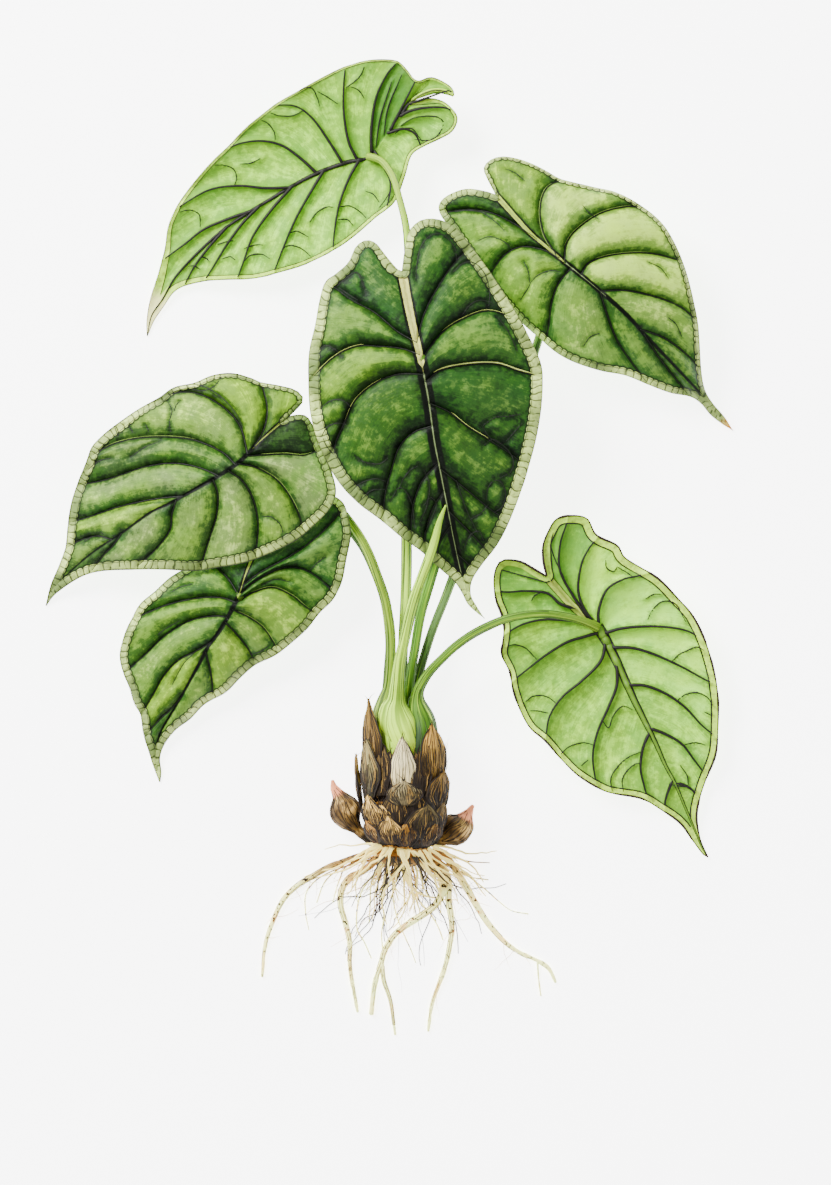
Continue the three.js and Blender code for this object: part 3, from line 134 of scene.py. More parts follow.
blades["top_right"] = dict(
    spine=[
        (37, 264.5, 27), (43.5, 257, 29), (52, 247.5, 32), (60, 240.5, 34.5), (66.5, 235, 36),
        (74, 229, 36), (82.5, 222, 35), (93.5, 212.5, 32), (104.5, 201, 28), (115.5, 190, 22),
        (124, 181.5, 15), (128.5, 177, 11), (134, 171, 6.5), (138.5, 166, 3), (142, 162.5, 0.6)],
    margins=([
        (35, 269.5), (32, 275.5), (35, 279.5), (40.5, 281), (48.5, 279.5), (57, 276), (66, 271),
        (78.5, 268), (89.5, 265.5), (101, 259.5), (109, 253), (114.5, 245), (119, 235.5),
        (122.5, 223.5), (125.5, 210.5), (126.5, 199.5), (127.5, 188.5), (129, 180.5),
        (132.5, 174.5), (138, 168.5)
    ], [
        (32.5, 266), (24, 267), (16, 264), (12.5, 260), (13.5, 255.5), (17.5, 250), (25, 239.5),
        (32.5, 228.5), (41.5, 217), (49.5, 208), (56.5, 202), (63.5, 196), (72, 191.5), (83, 188),
        (94, 186), (104, 182), (114, 178.5), (122.5, 177), (127.5, 174), (132, 169), (137.5, 165)
    ]),
    veins=([
        (29, 1, [(63.5, 238), (58, 247), (56.5, 257.5), (59, 266.5), (66.5, 271)]),
        (26, 1, [(67, 234.5), (68, 243), (73, 249.5), (82.5, 256), (93, 259), (101.5, 259)]),
        (23, 1, [(74, 229), (78, 234.5), (88, 238), (103.5, 239), (119, 235.5)]),
        (20, 1, [(82.5, 222), (93.5, 222.5), (106.5, 220), (117.5, 216), (125.5, 210)]),
        (14, 0.6, [(100, 205.5), (111, 202), (121, 195), (127.5, 188)]),
    ], [
        (24, 0.9, [(55.5, 244.5), (45.5, 251.5), (35, 256.5), (24, 258), (13, 256.5)]),
        (25, 1, [(65, 236), (58, 240), (48.5, 241.5), (40.5, 237.5), (33.5, 227)]),
        (24, 1, [(70, 232), (64.5, 225.5), (61.5, 217), (60.5, 208), (59, 200)]),
        (18, 1, [(82.5, 222), (86, 211), (90.5, 200.5), (97.5, 190.5), (104, 182)]),
        (12, 0.6, [(102, 204), (108, 194.5), (115, 186), (122.5, 177)]),
    ]),
    cells=([
        (0.76, 0.75), (0.95, 0.55), (1, 0.6), (1, 0.55), (0.86, 0.4), (0.76, 0.4), (0.9, 0.7)
    ], [
        (0.56, 0.5), (0.7, 0.55), (0.72, 0.65), (0.74, 0.3), (0.7, 0.35), (0.8, 0.45), (0.9, 0.7)
    ]),
    nerves=[
        [(19.5, 257), (25, 257.5), (31.5, 256.5), (37, 252.5), (41, 248.5)],
        [(29.5, 244.5), (35, 246), (40.5, 244), (44.5, 240.5)],
        [(52.5, 226), (55.5, 229), (61, 231), (65, 230.5)],
        [(49.5, 235), (51.5, 230.5), (52, 226)],
        [(48, 218.5), (51, 223), (52.5, 226)],
        [(82, 253.5), (77.5, 256.5), (75, 259.5)],
        [(103.5, 235), (109, 232.5), (112.5, 228)],
        [(41.5, 275.5), (46, 273.5), (50, 270)],
        [(75.5, 198.5), (78.5, 202.5), (82.5, 204)],
        [(112.5, 211), (116, 208), (118.5, 203)],
    ],
)
blades["top_left"] = dict(
    spine=[
        (0, 305.5, 17), (-5, 298.5, 15), (-11, 290.5, 12.5), (-18, 282, 10.5), (-28.5, 279.5, 9.5),
        (-44, 273.5, 8.5), (-61.5, 263.5, 8), (-79, 252.5, 7), (-92, 241.5, 5.5),
        (-102.5, 230.5, 3.5), (-108.5, 220.5, 1.8), (-113.5, 213, 0.9), (-115.5, 204, 0.6)],
    margins=([
        (4.5, 308.5), (10, 310.5), (15.5, 310), (19, 307.5), (18.5, 311), (14.5, 314), (9, 316),
        (3, 314.5), (-1.5, 319.5), (-5, 323), (-11, 324), (-19.5, 323.5), (-28.5, 321), (-37, 317),
        (-48, 311), (-57, 306), (-65, 300), (-72.5, 294), (-79.5, 286.5), (-85.5, 281), (-92, 274),
        (-98, 266.5), (-102.5, 259.5), (-106, 251.5), (-107.5, 241.5), (-110.5, 231), (-114, 220),
        (-115.5, 211)
    ], [
        (3.5, 305.5), (9, 307), (15.5, 305), (20.5, 299), (18.5, 293), (12.5, 289.5), (6, 286.5),
        (0.5, 282.5), (-2.5, 273), (-7, 262), (-15.5, 255), (-25.5, 246.5), (-33.5, 241),
        (-46, 235), (-57, 231.5), (-68, 229), (-79, 228.5), (-90, 228), (-99, 226), (-104, 223),
        (-108, 217.5), (-112.5, 211)
    ]),
    veins=([
        (20, 0.7, [(-3.5, 300.5), (0.5, 306), (6, 309), (12.5, 311), (19, 309.5)]),
        (19, 1, [(-8.5, 293.5), (-4.5, 301.5), (-0.5, 309), (2.5, 314.5)]),
        (17, 1, [(-17, 283), (-17, 293.5), (-15, 307), (-10.5, 317), (-5.5, 323)]),
        (15, 1, [(-23, 281), (-27, 289), (-29, 301.5), (-29, 313), (-28, 321)]),
        (13, 1, [(-29.5, 279), (-35, 288), (-42.5, 298.5), (-50, 304), (-58.5, 304.5)]),
        (11, 1, [(-41, 275), (-48, 281.5), (-56, 287), (-65, 289), (-74, 288), (-80.5, 285)]),
        (8, 1, [(-52.5, 268.5), (-63.5, 268.5), (-75.5, 269.5), (-88.5, 267.5), (-102, 259.5)]),
        (4.5, 1, [(-70, 258), (-80, 255), (-90.5, 250.5), (-99, 244), (-107.5, 237)]),
    ], [
        (18, 0.8, [(-4.5, 299.5), (-0.5, 301.5), (6.5, 303), (15, 303), (20, 301)]),
        (13, 0.5, [(-9.5, 292), (-3, 294), (2, 292), (5.5, 286)]),
        (14, 0.5, [(-16, 284.5), (-11, 277), (-8.5, 269.5), (-10, 258.5)]),
        (13, 1, [(-22.5, 281), (-27, 272), (-31, 261), (-33, 250), (-33.5, 241)]),
        (11, 1, [(-37.5, 276), (-43, 267.5), (-49.5, 256), (-55, 243.5), (-60, 230.5)]),
        (9, 1, [(-51.5, 269), (-61.5, 258), (-69, 247), (-73, 236), (-75.5, 229)]),
        (6, 1, [(-66, 261), (-73.5, 253), (-80.5, 243.5), (-86, 234.5), (-90.5, 228)]),
        (3, 0.6, [(-80.5, 251.5), (-88, 243), (-94.5, 234.5), (-99.5, 226)]),
    ]),
    cells=([
        (0.84, 0.6), (0.84, 0.6), (0.45, 0.25), (0.8, 0.6), (0.84, 0.55), (0.84, 0.55),
        (0.84, 0.55), (0.84, 0.55), (0.84, 0.55), (0.84, 0.55)
    ], [
        (0.84, 0.6), (0.78, 0.45), (0.84, 0.6), (0.84, 0.6), (0.84, 0.6), (0.84, 0.6), (0.84, 0.6),
        (0.84, 0.6), (0.84, 0.6), (0.84, 0.6)
    ]),
    nerves=[
        [(-11.5, 291.5), (-9.5, 303.5), (-3.5, 317.5)],
        [(-15, 286), (-13, 299), (-8, 314.5)],
        [(-49, 310.5), (-45.5, 312), (-42.5, 311.5), (-40.5, 307.5), (-39.5, 304)],
        [(-40.5, 310.5), (-36, 308), (-31.5, 305)],
        [(-28, 312), (-24.5, 314.5), (-21.5, 317.5), (-20, 321)],
        [(-26, 312.5), (-22.5, 311), (-20, 307.5)],
        [(-61, 301), (-57, 300), (-51.5, 300), (-47, 302)],
        [(-65, 298), (-62, 296.5), (-59.5, 293), (-59, 289.5)],
        [(-85.5, 278.5), (-81.5, 278.5), (-77.5, 277), (-76, 273), (-77, 269.5)],
        [(-92, 251.5), (-92.5, 257), (-96.5, 259), (-101, 258)],
        [(-97.5, 234.5), (-94.5, 234.5), (-92, 233)],
        [(-92, 238.5), (-89.5, 238), (-88, 236.5)],
        [(-82.5, 237.5), (-79, 238.5), (-76.5, 237)],
        [(-84.5, 244), (-80.5, 245), (-77.5, 245.5)],
        [(-73, 236), (-70, 239), (-65, 239.5), (-61.5, 237.5)],
        [(-72.5, 242), (-68, 243.5), (-64.5, 243.5)],
        [(-56.5, 240.5), (-54, 243), (-50.5, 243), (-47, 241.5), (-43.5, 238.5)],
        [(-53, 248.5), (-49.5, 249.5), (-44.5, 247)],
        [(-44, 253.5), (-41, 257.5), (-37, 260), (-33.5, 260)],
        [(-31, 260), (-26.5, 260.5), (-22, 258), (-19, 255)],
        [(-31.5, 254.5), (-27.5, 254.5), (-25, 252)],
        [(-19.5, 267), (-16, 265.5), (-13.5, 262)],
        [(-6.5, 292), (-3.5, 294), (1, 294), (3.5, 291), (5.5, 288.5)],
        [(2, 289.5), (8, 289), (11.5, 290.5), (14, 294), (14.5, 297), (12, 299), (6.5, 299.5),
            (1, 298.5), (-4, 295.5)],
        [(-11.5, 276.5), (-9, 272), (-8.5, 267.5), (-10.5, 263.5), (-13.5, 259.5)],
        [(-74.5, 279), (-70, 279.5), (-65.5, 281.5)],
    ],
)
blades["left_upper"] = dict(
    spine=[
        (-55, 166, 30), (-64.5, 157.5, 33), (-74.5, 147.5, 35), (-84.5, 141, 34), (-93.5, 136, 32),
        (-104.5, 130, 29.5), (-113, 126, 27), (-124.5, 118, 22), (-135.5, 111, 16),
        (-143, 105.5, 12), (-151.5, 98, 6.5), (-158, 91.5, 2.5), (-160, 85.5, 0.6)],
    margins=([
        (-50.5, 170), (-46.5, 175), (-49.5, 179), (-56.5, 181), (-64.5, 182.5), (-69.5, 184.5),
        (-77.5, 186.5), (-86, 185.5), (-93.5, 182.5), (-102.5, 180.5), (-109, 176),
        (-117.5, 171.5), (-125.5, 166), (-133, 160.5), (-138.5, 155), (-141, 148.5),
        (-144.5, 140.5), (-147.5, 132), (-149.5, 121), (-150.5, 112), (-153.5, 103.5),
        (-157.5, 94.5)
    ], [
        (-51, 168), (-45.5, 168), (-42.5, 164), (-40, 156.5), (-36, 148), (-33, 139.5),
        (-32.5, 133.5), (-35.5, 127), (-42.5, 120), (-50, 114), (-61, 108.5), (-72, 104.5),
        (-83, 102.5), (-93.5, 101), (-107, 101.5), (-120, 101.5), (-133.5, 101), (-142.5, 99),
        (-150, 95), (-156.5, 90)
    ]),
    veins=([
        (29, 1, [(-67.5, 154), (-63.5, 162), (-62, 171.5), (-64.5, 182)]),
        (26, 1, [(-70.5, 151.5), (-73.5, 163), (-80, 171), (-90, 177), (-99, 178.5),
            (-108, 176.5)]),
        (19, 1, [(-75.5, 146.5), (-82, 152.5), (-95.5, 158), (-113.5, 159), (-128, 156.5),
            (-140, 150.5)]),
        (15, 1, [(-83, 142), (-91.5, 145.5), (-102.5, 147.5), (-115.5, 146), (-131, 141),
            (-145, 137.5)]),
        (13, 1, [(-98.5, 133), (-111, 132), (-127.5, 128.5), (-139.5, 124.5), (-149, 121.5)]),
        (10, 0.5, [(-130, 114), (-136.5, 116), (-143.5, 114.5), (-151, 111)]),
    ], [
        (29, 1, [(-71, 150.5), (-64, 151), (-54.5, 151.5), (-46, 151), (-39, 153.5)]),
        (29, 1, [(-74.5, 147.5), (-66.5, 145.5), (-58, 140.5), (-52, 133), (-48, 124.5),
            (-46, 117)]),
        (28, 1, [(-79, 144.5), (-72.5, 139.5), (-68, 131.5), (-66, 122), (-66.5, 113),
            (-67, 106)]),
        (24, 1, [(-85.5, 140.5), (-83.5, 134), (-84, 125), (-87, 115.5), (-91.5, 101.5)]),
        (18, 1, [(-101.5, 131.5), (-103.5, 125.5), (-104.5, 118.5), (-110.5, 110.5),
            (-120.5, 101.5)]),
        (11, 0.4, [(-125.5, 117.5), (-129.5, 112), (-134, 107.5), (-140, 100)]),
    ]),
    cells=([
        (0.72, 0.95), (0.78, 1), (0.8, 0.55), (0.64, 0.4), (0.74, 0.35), (0.8, 0.75), (0.76, 0.6),
        (0.8, 0.6)
    ], [
        (0.34, 0.3), (0.8, 0.15), (0.76, 0.6), (0.8, 0.4), (0.7, 0.6), (0.8, 0.3), (0.72, 0.5),
        (0.8, 0.6)
    ]),
    nerves=[
        [(-103, 180), (-97.5, 182), (-90, 181), (-83, 177), (-76.5, 170.5), (-72.5, 163)],
        [(-105.5, 174.5), (-103.5, 170.5), (-104.5, 165.5), (-104, 161)],
        [(-102.5, 170), (-101.5, 173), (-100, 174.5)],
        [(-128.5, 163), (-127, 159)],
        [(-123, 164.5), (-120.5, 161)],
        [(-115, 164.5), (-113.5, 161)],
        [(-122, 150), (-115.5, 154.5), (-109, 157)],
        [(-95, 180), (-90, 179), (-85, 181), (-82, 185)],
        [(-64, 124.5), (-60, 124), (-56.5, 121), (-55, 117)],
        [(-140.5, 145), (-136, 148.5), (-130, 150)],
        [(-135.5, 116.5), (-139, 115.5), (-142.5, 113.5)],
    ],
)
blades["left_lower"] = dict(
    spine=[
        (-67, 110.5, 22), (-71.5, 99.5, 24), (-75, 89, 25), (-82, 76, 22.5), (-87.5, 68.5, 20.5),
        (-91.5, 61, 18), (-96, 53, 15), (-100.5, 45, 12), (-105, 37.5, 8.5), (-109, 31, 5.5),
        (-111, 25, 4), (-111.5, 19.5, 2.5), (-111, 13, 1.2), (-110, 8, 0.6)],
    margins=([
        (-73, 114), (-81, 113), (-89.5, 108), (-97, 102.5), (-105, 97.5), (-111.5, 91.5),
        (-118, 86), (-122, 79), (-125, 72), (-127, 64), (-125.5, 56.5), (-123, 50), (-121, 43),
        (-118, 37.5), (-117, 29.5), (-114.5, 21.5), (-112.5, 14.5)
    ], [
        (-56, 122), (-45, 130.5), (-35.5, 133.5), (-29.5, 130.5), (-27, 124), (-26, 116),
        (-28, 105.5), (-30, 95.5), (-34, 88), (-40, 82), (-44.5, 76), (-50.5, 70.5), (-59, 64),
        (-68, 59.5), (-74.5, 54), (-81, 47.5), (-90, 42.5), (-96.5, 36), (-103, 31), (-108, 24.5),
        (-110, 18.5), (-109.5, 12.5)
    ]),
    veins=([
        (17, 0.8, [(-74.5, 90), (-79, 97), (-84.5, 102.5), (-89.5, 108)]),
        (13, 1, [(-76, 87), (-82, 89), (-91.5, 89), (-104, 86.5), (-113.5, 83), (-122, 79)]),
        (9, 1, [(-79, 80.5), (-86, 81), (-96, 79), (-107, 72.5), (-116, 64), (-125, 55.5)]),
        (6, 1, [(-86.5, 69.5), (-93, 66), (-101.5, 61.5), (-108, 54.5), (-112, 47.5),
            (-118, 37.5)]),
        (4.5, 0.4, [(-100.5, 45.5), (-105, 40), (-109.5, 36), (-116, 28)]),
    ], [
        (24, 0.8, [(-73, 94), (-64.5, 100.5), (-52.5, 107), (-40, 116), (-29, 128)]),
        (20, 1, [(-74.5, 90), (-66.5, 97), (-56, 102), (-46.5, 101.5), (-39, 97), (-32.5, 91)]),
        (17, 1, [(-76, 87), (-68, 91.5), (-59.5, 93.5), (-51.5, 90), (-46, 85.5), (-41, 81)]),
        (14.5, 1, [(-77.5, 84), (-71, 81), (-64.5, 76.5), (-60.5, 71), (-57, 65.5)]),
        (12, 1, [(-80.5, 78.5), (-75.5, 73), (-71.5, 68), (-69, 63.5), (-67.5, 59.5)]),
        (8, 0.8, [(-89, 65.5), (-87.5, 58.5), (-86.5, 51), (-86.5, 44.5)]),
    ]),
    cells=([
        (0.5, 0.3), (0.62, 0.5), (0.66, 0.55), (0.74, 0.35), (0.8, 0.95), (0.62, 0.55), (0.8, 0.5)
    ], [
        (0.6, 0.1), (0.62, 0.15), (0.68, 0.3), (0.82, 0.6), (0.8, 0.35), (0.82, 0.8), (0.8, 0.45),
        (0.8, 0.5)
    ]),
    nerves=[
        [(-38.5, 95.5), (-35.5, 93.5), (-33, 90)],
        [(-110, 73), (-106, 76), (-100.5, 79)],
        [(-70, 64), (-65.5, 65.5), (-61, 68.5)],
        [(-104, 91.5), (-100.5, 93.5), (-95, 95)],
        [(-93.5, 65.5), (-99, 60), (-104, 51)],
        [(-64.5, 94.5), (-59, 97), (-52.5, 96)],
        [(-44, 100.5), (-40, 104.5), (-36.5, 107)],
    ],
)
blades["right_lower"] = dict(
    spine=[
        (59.5, 98.5, 20), (65.5, 91.5, 17), (72, 84.5, 14.5), (78, 79.5, 13), (82.5, 75.5, 12.5),
        (87.5, 67, 11.5), (93, 55.5, 11), (98, 44.5, 10.5), (103, 34.5, 10), (107.5, 25.5, 9),
        (112, 15.5, 7.5), (116.5, 7, 6), (121, -3.5, 4), (125.5, -14, 2), (128.5, -21, 0.8),
        (131, -25, 0.6)],
    margins=([
        (58, 105.5), (58, 112), (60.5, 118.5), (64, 123.5), (71, 125), (77.5, 123.5),
        (81.5, 116.5), (90.5, 112), (93.5, 107), (100.5, 102.5), (108.5, 97.5), (116, 90),
        (123.5, 81.5), (129, 70.5), (133, 57.5), (135, 44), (135, 31), (134, 20), (130, 9.5),
        (127, 0), (126, -7.5), (127.5, -16.5)
    ], [
        (54.5, 101.5), (48, 105), (40.5, 105.5), (37.5, 102), (36.5, 96), (37.5, 88), (40, 81.5),
        (41, 76), (40.5, 70), (40, 64), (43.5, 56.5), (45, 48.5), (48, 40), (52.5, 32), (59, 26.5),
        (65.5, 19), (72.5, 12), (80, 7), (87.5, 3.5), (101, 1), (110, -4), (118.5, -10),
        (124, -17.5), (128.5, -23.5)
    ]),
    veins=([
        (19, 1, [(79, 79), (71.5, 89.5), (65.5, 101), (65.5, 112), (68, 120.5), (69, 124.5)]),
        (18, 1, [(80.5, 77), (75.5, 85.5), (73.5, 93.5), (75, 104), (78.5, 111), (82, 115.5)]),
        (17, 1, [(83, 75), (82.5, 83.5), (86, 92.5), (93, 97), (99.5, 98.5), (104.5, 100.5)]),
        (14, 1, [(84, 73), (92, 75.5), (103, 76.5), (114, 76), (122.5, 74), (129.5, 69.5)]),
        (12, 1, [(87.5, 67), (97.5, 67), (107.5, 64), (118.5, 59), (128.5, 53.5), (134, 51)]),
        (9, 1, [(95, 51), (103, 50.5), (112, 47), (120.5, 41), (128, 33), (135, 27.5)]),
        (6, 1, [(104.5, 32), (111.5, 29.5), (119, 25), (124.5, 18), (130.5, 10.5)]),
        (4, 0.4, [(116, 7.5), (120, 7), (124, 4.5), (127, 0)]),
    ], [
        (17, 1, [(72.5, 84), (65.5, 86.5), (60, 91), (50.5, 92), (43, 91.5), (36.5, 92)]),
        (16, 0.6, [(79.5, 77.5), (71, 79), (59, 79.5), (49.5, 77.5), (41, 72.5)]),
        (15, 1, [(83, 73.5), (76.5, 72), (68.5, 69.5), (59.5, 64), (51, 57.5), (44, 52)]),
        (13, 1, [(85.5, 70.5), (83.5, 61.5), (75.5, 53), (66.5, 45.5), (61, 37), (59, 26.5)]),
        (10, 1, [(90.5, 61.5), (90.5, 51), (87, 41.5), (82, 30), (80, 19), (81.5, 6)]),
        (6, 1, [(105, 30.5), (102, 23), (101, 14.5), (102.5, 7), (104.5, -0.5)]),
        (4, 0.3, [(115, 9.5), (113.5, 5), (112, 0), (111.5, -5)]),
    ]),
    cells=([
        (0.8, 0.45), (0.72, 0.3), (1, 0.6), (1, 0.3), (1, 0.5), (0.96, 0.4), (0.9, 0.5),
        (0.9, 0.5), (0.9, 0.5), (0.9, 0.5)
    ], [
        (0.78, 0.25), (0.78, 0.25), (0.84, 0.6), (0.84, 0.6), (0.84, 0.6), (0.84, 0.6),
        (0.84, 0.6), (0.84, 0.6), (0.84, 0.6)
    ]),
    nerves=[
        [(43, 68), (46, 68.5), (50.5, 67), (54, 63.5), (55.5, 62)],
        [(50.5, 43.5), (54, 46), (59, 46), (62.5, 44), (64.5, 42)],
        [(52.5, 39.5), (56, 39.5), (60.5, 38.5)],
        [(66, 20.5), (68.5, 23), (72.5, 25), (76.5, 25.5), (80.5, 24.5)],
        [(75, 15.5), (78, 18)],
        [(93.5, 4), (93, 9), (95, 13), (98.5, 16), (101, 16.5)],
        [(88.5, 4.5), (88, 10), (91, 15), (95.5, 19), (101, 21.5)],
        [(104, 79.5), (106, 83.5), (109.5, 87), (113, 87.5), (116.5, 86), (119, 81.5),
            (120.5, 78.5)],
        [(114.5, 61), (117.5, 64), (121.5, 66), (125.5, 67.5), (128.5, 66)],
        [(116.5, 43.5), (120.5, 46.5), (125.5, 47.5), (130, 45.5), (132.5, 42)],
        [(129, 39), (132, 37.5)],
        [(120, 24.5), (125, 25.5), (129.5, 24.5)],
        [(118.5, 15.5), (121.5, 11), (122, 7)],
        [(115, 7), (121, 6)],
        [(85.5, 105.5), (86, 102), (89, 100.5), (90.5, 102.5)],
        [(90.5, 102.5), (94, 100.5), (97.5, 98)],
        [(113, 94), (114.5, 91.5), (118, 89.5)],
        [(103, 88.5), (106.5, 90.5), (109.5, 90.5)],
        [(53, 87.5), (54.5, 90), (57.5, 91.5)],
        [(62.5, 117.5), (61.5, 112), (63.5, 105.5), (67.5, 97.5)],
        [(84, 35.5), (87, 32), (89, 37.5), (93, 41.5), (97.5, 40)],
    ],
)

# How each blade is painted. up: 1 for the upper face up, -1 for the underside. margins: width of
# the pale margin from the sinus to the tip, along each side. vein: half width of the main veins.
# fine: how far from the nerves the painted shade reaches, and how dark it is. tip: the share of
# the spine where a dry tip begins, and its colour. shade, reach: how dark the painted shade gets
# beside
# the veins, and how far. rib, band: half width of the pale rib and of the dark band along the
# midrib, by share of the spine. rim: radius of the thin line round the blade. pale: the pale lines
# beside the veins, painted highlights on their side towards the lamp, each with its side, vein,
# start, end and radius. dusty: how grey the green is.
blade_looks = {
    "center": dict(
        up=1, margins=((1.6, 3.8, 4.6, 4.6, 4.2, 3.2), (1.6, 3.4, 4.4, 4.6, 4.4, 3.2)), vein=0.35,
        fine=(2.8, 0.8),
        shade=0.72, reach=3.6, rib=((0, 1.9), (0.255, 1.35), (0.27, 0), (0.29, 0.3), (0.96, 0.12)),
        band=((0, 2.6), (0.25, 2.6), (0.5, 2.5), (0.9, 1.6), (1, 0.4)), rim=0.16,
        pale=((0, 3, 0.1, 0.97, 0.42), (0, 2, 0.3, 0.9, 0.16), (1, 2, 0.45, 0.95, 0.2),
              (0, 4, 0.2, 0.6, 0.16), (1, 3, 0.3, 0.7, 0.14)),
    ),
    "top_right": dict(
        up=1, margins=((0.9, 0.9, 1.0, 1.4, 1.8, 1.8), (2.2, 2.6, 2.0, 2.4, 2.6, 2.2)), vein=0.35,
        fine=(2.0, 0.4), tip=(0.945, "d9b85c"),
        shade=0.56, reach=2.8, rib=((0, 1.1), (0.22, 0.55), (0.3, 0.2), (0.45, 0)),
        band=((0, 1.7), (0.3, 1.1), (0.6, 0.6), (1, 0.2)), rim=0.14,
        pale=((0, 1, 0.1, 0.9, 0.16), (0, 2, 0.15, 0.9, 0.16), (0, 3, 0.2, 0.7, 0.14)),
    ),
    "top_left": dict(
        up=-1, margins=((0.7, 0.7, 0.8, 1.0, 1.6, 4.5), (1.0, 1.3, 1.5, 1.6, 1.9, 3.0)), vein=0.5,
        fine=(2.2, 0.6), tip=(0.86, "e8e6d8"),
        shade=0.2, reach=1.8, rib=(), band=((0, 0.4), (0.3, 0.9), (0.7, 0.5), (1, 0.2)), rim=0.15,
        pale=(),
    ),
    "left_upper": dict(
        up=1, margins=((1.2, 1.0, 1.6, 3.0, 3.2, 2.6), (1.0, 2.6, 3.4, 3.4, 3.2, 2.6)), vein=0.33,
        fine=(2.4, 0.65), dusty=0.8,
        shade=0.54, reach=3.0, rib=((0, 0.4), (0.14, 0)),
        band=((0, 0.9), (0.35, 0.7), (0.5, 0.4), (0.75, 0.2), (1, 0.1)), rim=0.16,
        pale=((0, 3, 0.3, 0.9, 0.14), (1, 2, 0.2, 0.8, 0.14), (1, 1, 0.2, 0.9, 0.18)),
    ),
    "left_lower": dict(
        up=1, margins=((1.2, 1.8, 2.4, 2.8, 2.8, 2.6), (1.8, 2.4, 2.8, 2.8, 2.6, 2.6)), vein=0.3,
        fine=(2.0, 0.4),
        shade=0.47, reach=2.6, rib=((0, 0.8), (0.12, 0.15), (0.2, 0)),
        band=((0, 1.0), (0.4, 0.7), (0.7, 0.3), (1, 0.1)), rim=0.14,
        pale=((1, 3, 0.2, 0.9, 0.16), (1, 4, 0.1, 0.9, 0.14)),
    ),
    "right_lower": dict(
        up=-1, margins=((2.6, 3.6, 3.2, 3.2, 3.0, 3.0), (2.4, 2.8, 2.6, 2.6, 2.8, 2.6)), vein=0.5,
        fine=(2.2, 0.6),
        shade=0.2, reach=1.8, rib=((0, 1.8), (0.21, 1.3), (0.25, 0)), band=((0, 0), (1, 0)),
        rim=0.42, pale=(),
    ),
}


def smooth_line(points, count):
    """A smooth line through the points, cut into even steps."""
    p = np.array(points, float)
    p = np.vstack([2 * p[0] - p[1], p, 2 * p[-1] - p[-2]])
    t = np.linspace(0, 1, 12, endpoint=False)[:, None]
    bits = []
    for i in range(1, len(p) - 2):
        a, b, c, d = p[i - 1 : i + 3]
        bits.append(
            b + 0.5 * t * (c - a + t * (2 * a - 5 * b + 4 * c - d + t * (3 * (b - c) + d - a)))
        )
    line = np.vstack([*bits, p[-2:-1]])
    run = run_along(line)
    even = np.linspace(0, run[-1], count + 1)
    return np.stack([np.interp(even, run, line[:, k]) for k in range(line.shape[1])], axis=-1)


def run_along(line):
    """How far along the line each of its points is."""
    return np.concatenate([[0], np.cumsum(np.linalg.norm(np.diff(line, axis=0), axis=1))])


def length_of(line):
    return float(np.linalg.norm(np.diff(line, axis=0), axis=1).sum())


def headings(line):
    """The direction of the line at each of its points, as steps of length 1."""
    ahead = np.gradient(line, axis=0)
    return ahead / np.linalg.norm(ahead, axis=1)[:, None]


def to_the_left(line):
    """Steps of length 1 across the line in the plane, at each of its points."""
    ahead = headings(line)
    return np.column_stack([-ahead[:, 1], ahead[:, 0]])


def read_line(line, share):
    """The place on the line after that share of its length."""
    place = np.asarray(share) * (len(line) - 1)
    steps = np.arange(len(line))
    return np.stack([np.interp(place, steps, line[:, k]) for k in range(line.shape[1])], axis=-1)


def nearest_share(line, point, start=0.0):
    """The share of the line's length, from the start on, that is nearest to the point."""
    first = math.ceil(start * (len(line) - 1))
    away = np.linalg.norm(line[first:, :2] - np.array(point)[:2], axis=1)
    return (first + int(np.argmin(away))) / (len(line) - 1)


def away_from(points, line):
    """Distance of each point from a line, and the share of the line at which it is nearest."""
    a, b = line[:-1, :2], line[1:, :2]
    ab = b - a
    to = points[:, None, :2] - a[None]
    t = np.clip((to * ab).sum(-1) / np.maximum((ab * ab).sum(-1), 1e-9), 0, 1)
    gap = np.linalg.norm(to - t[..., None] * ab, axis=-1)
    at = gap.argmin(axis=1)
    rows = np.arange(len(points))
    return gap[rows, at], (at + t[rows, at]) / len(a)


def blade_half(leaf, spine, index):
    """One half of a blade: the margin, and a station for each vein, both ends and the drip tip."""
    start, end = leaf["spine"][0], leaf["spine"][-1]
    rim = smooth_line([start[:2], *leaf["margins"][index], end[:2]], SPINE_STEPS)
    stations = [dict(along=0.0, around=0.0, rise=start[2], depth=0.0, path=None)]
    for rise, depth, path in leaf["veins"][index]:
        along = max(nearest_share(spine, path[0]), stations[-1]["along"] + VEIN_SPACING)
        around = nearest_share(rim, path[-1], stations[-1]["around"])
        stations.append(dict(along=along, around=around, rise=rise, depth=depth, path=path[1:-1]))
    drip = read_line(spine, DRIP_START)
    around = nearest_share(rim, drip, stations[-1]["around"] + 0.01)
    stations.append(dict(along=DRIP_START, around=around, rise=drip[2], depth=0.0, path=[]))
    stations.append(dict(along=1.0, around=1.0, rise=end[2], depth=0.0, path=None))
    arounds, rises = [s["around"] for s in stations], [s["rise"] for s in stations]
    rim = np.column_stack([rim, np.interp(np.linspace(0, 1, SPINE_STEPS + 1), arounds, rises)])
    for s in stations:
        s["inner"], s["outer"] = read_line(spine, s["along"]), read_line(rim, s["around"])
        if s["path"] is not None:
            s["line"] = smooth_line([s["inner"][:2], *s["path"], s["outer"][:2]], VEIN_STEPS)
    return rim, stations


def station_points(s, share):
    """Points on the vein of a station, by their share of the way from the spine to the margin."""
    if s["path"] is None:
        return np.repeat(s["inner"][None], len(share), axis=0)
    flat = read_line(s["line"], share)
    return np.column_stack([flat, s["inner"][2] + (s["outer"][2] - s["inner"][2]) * share])


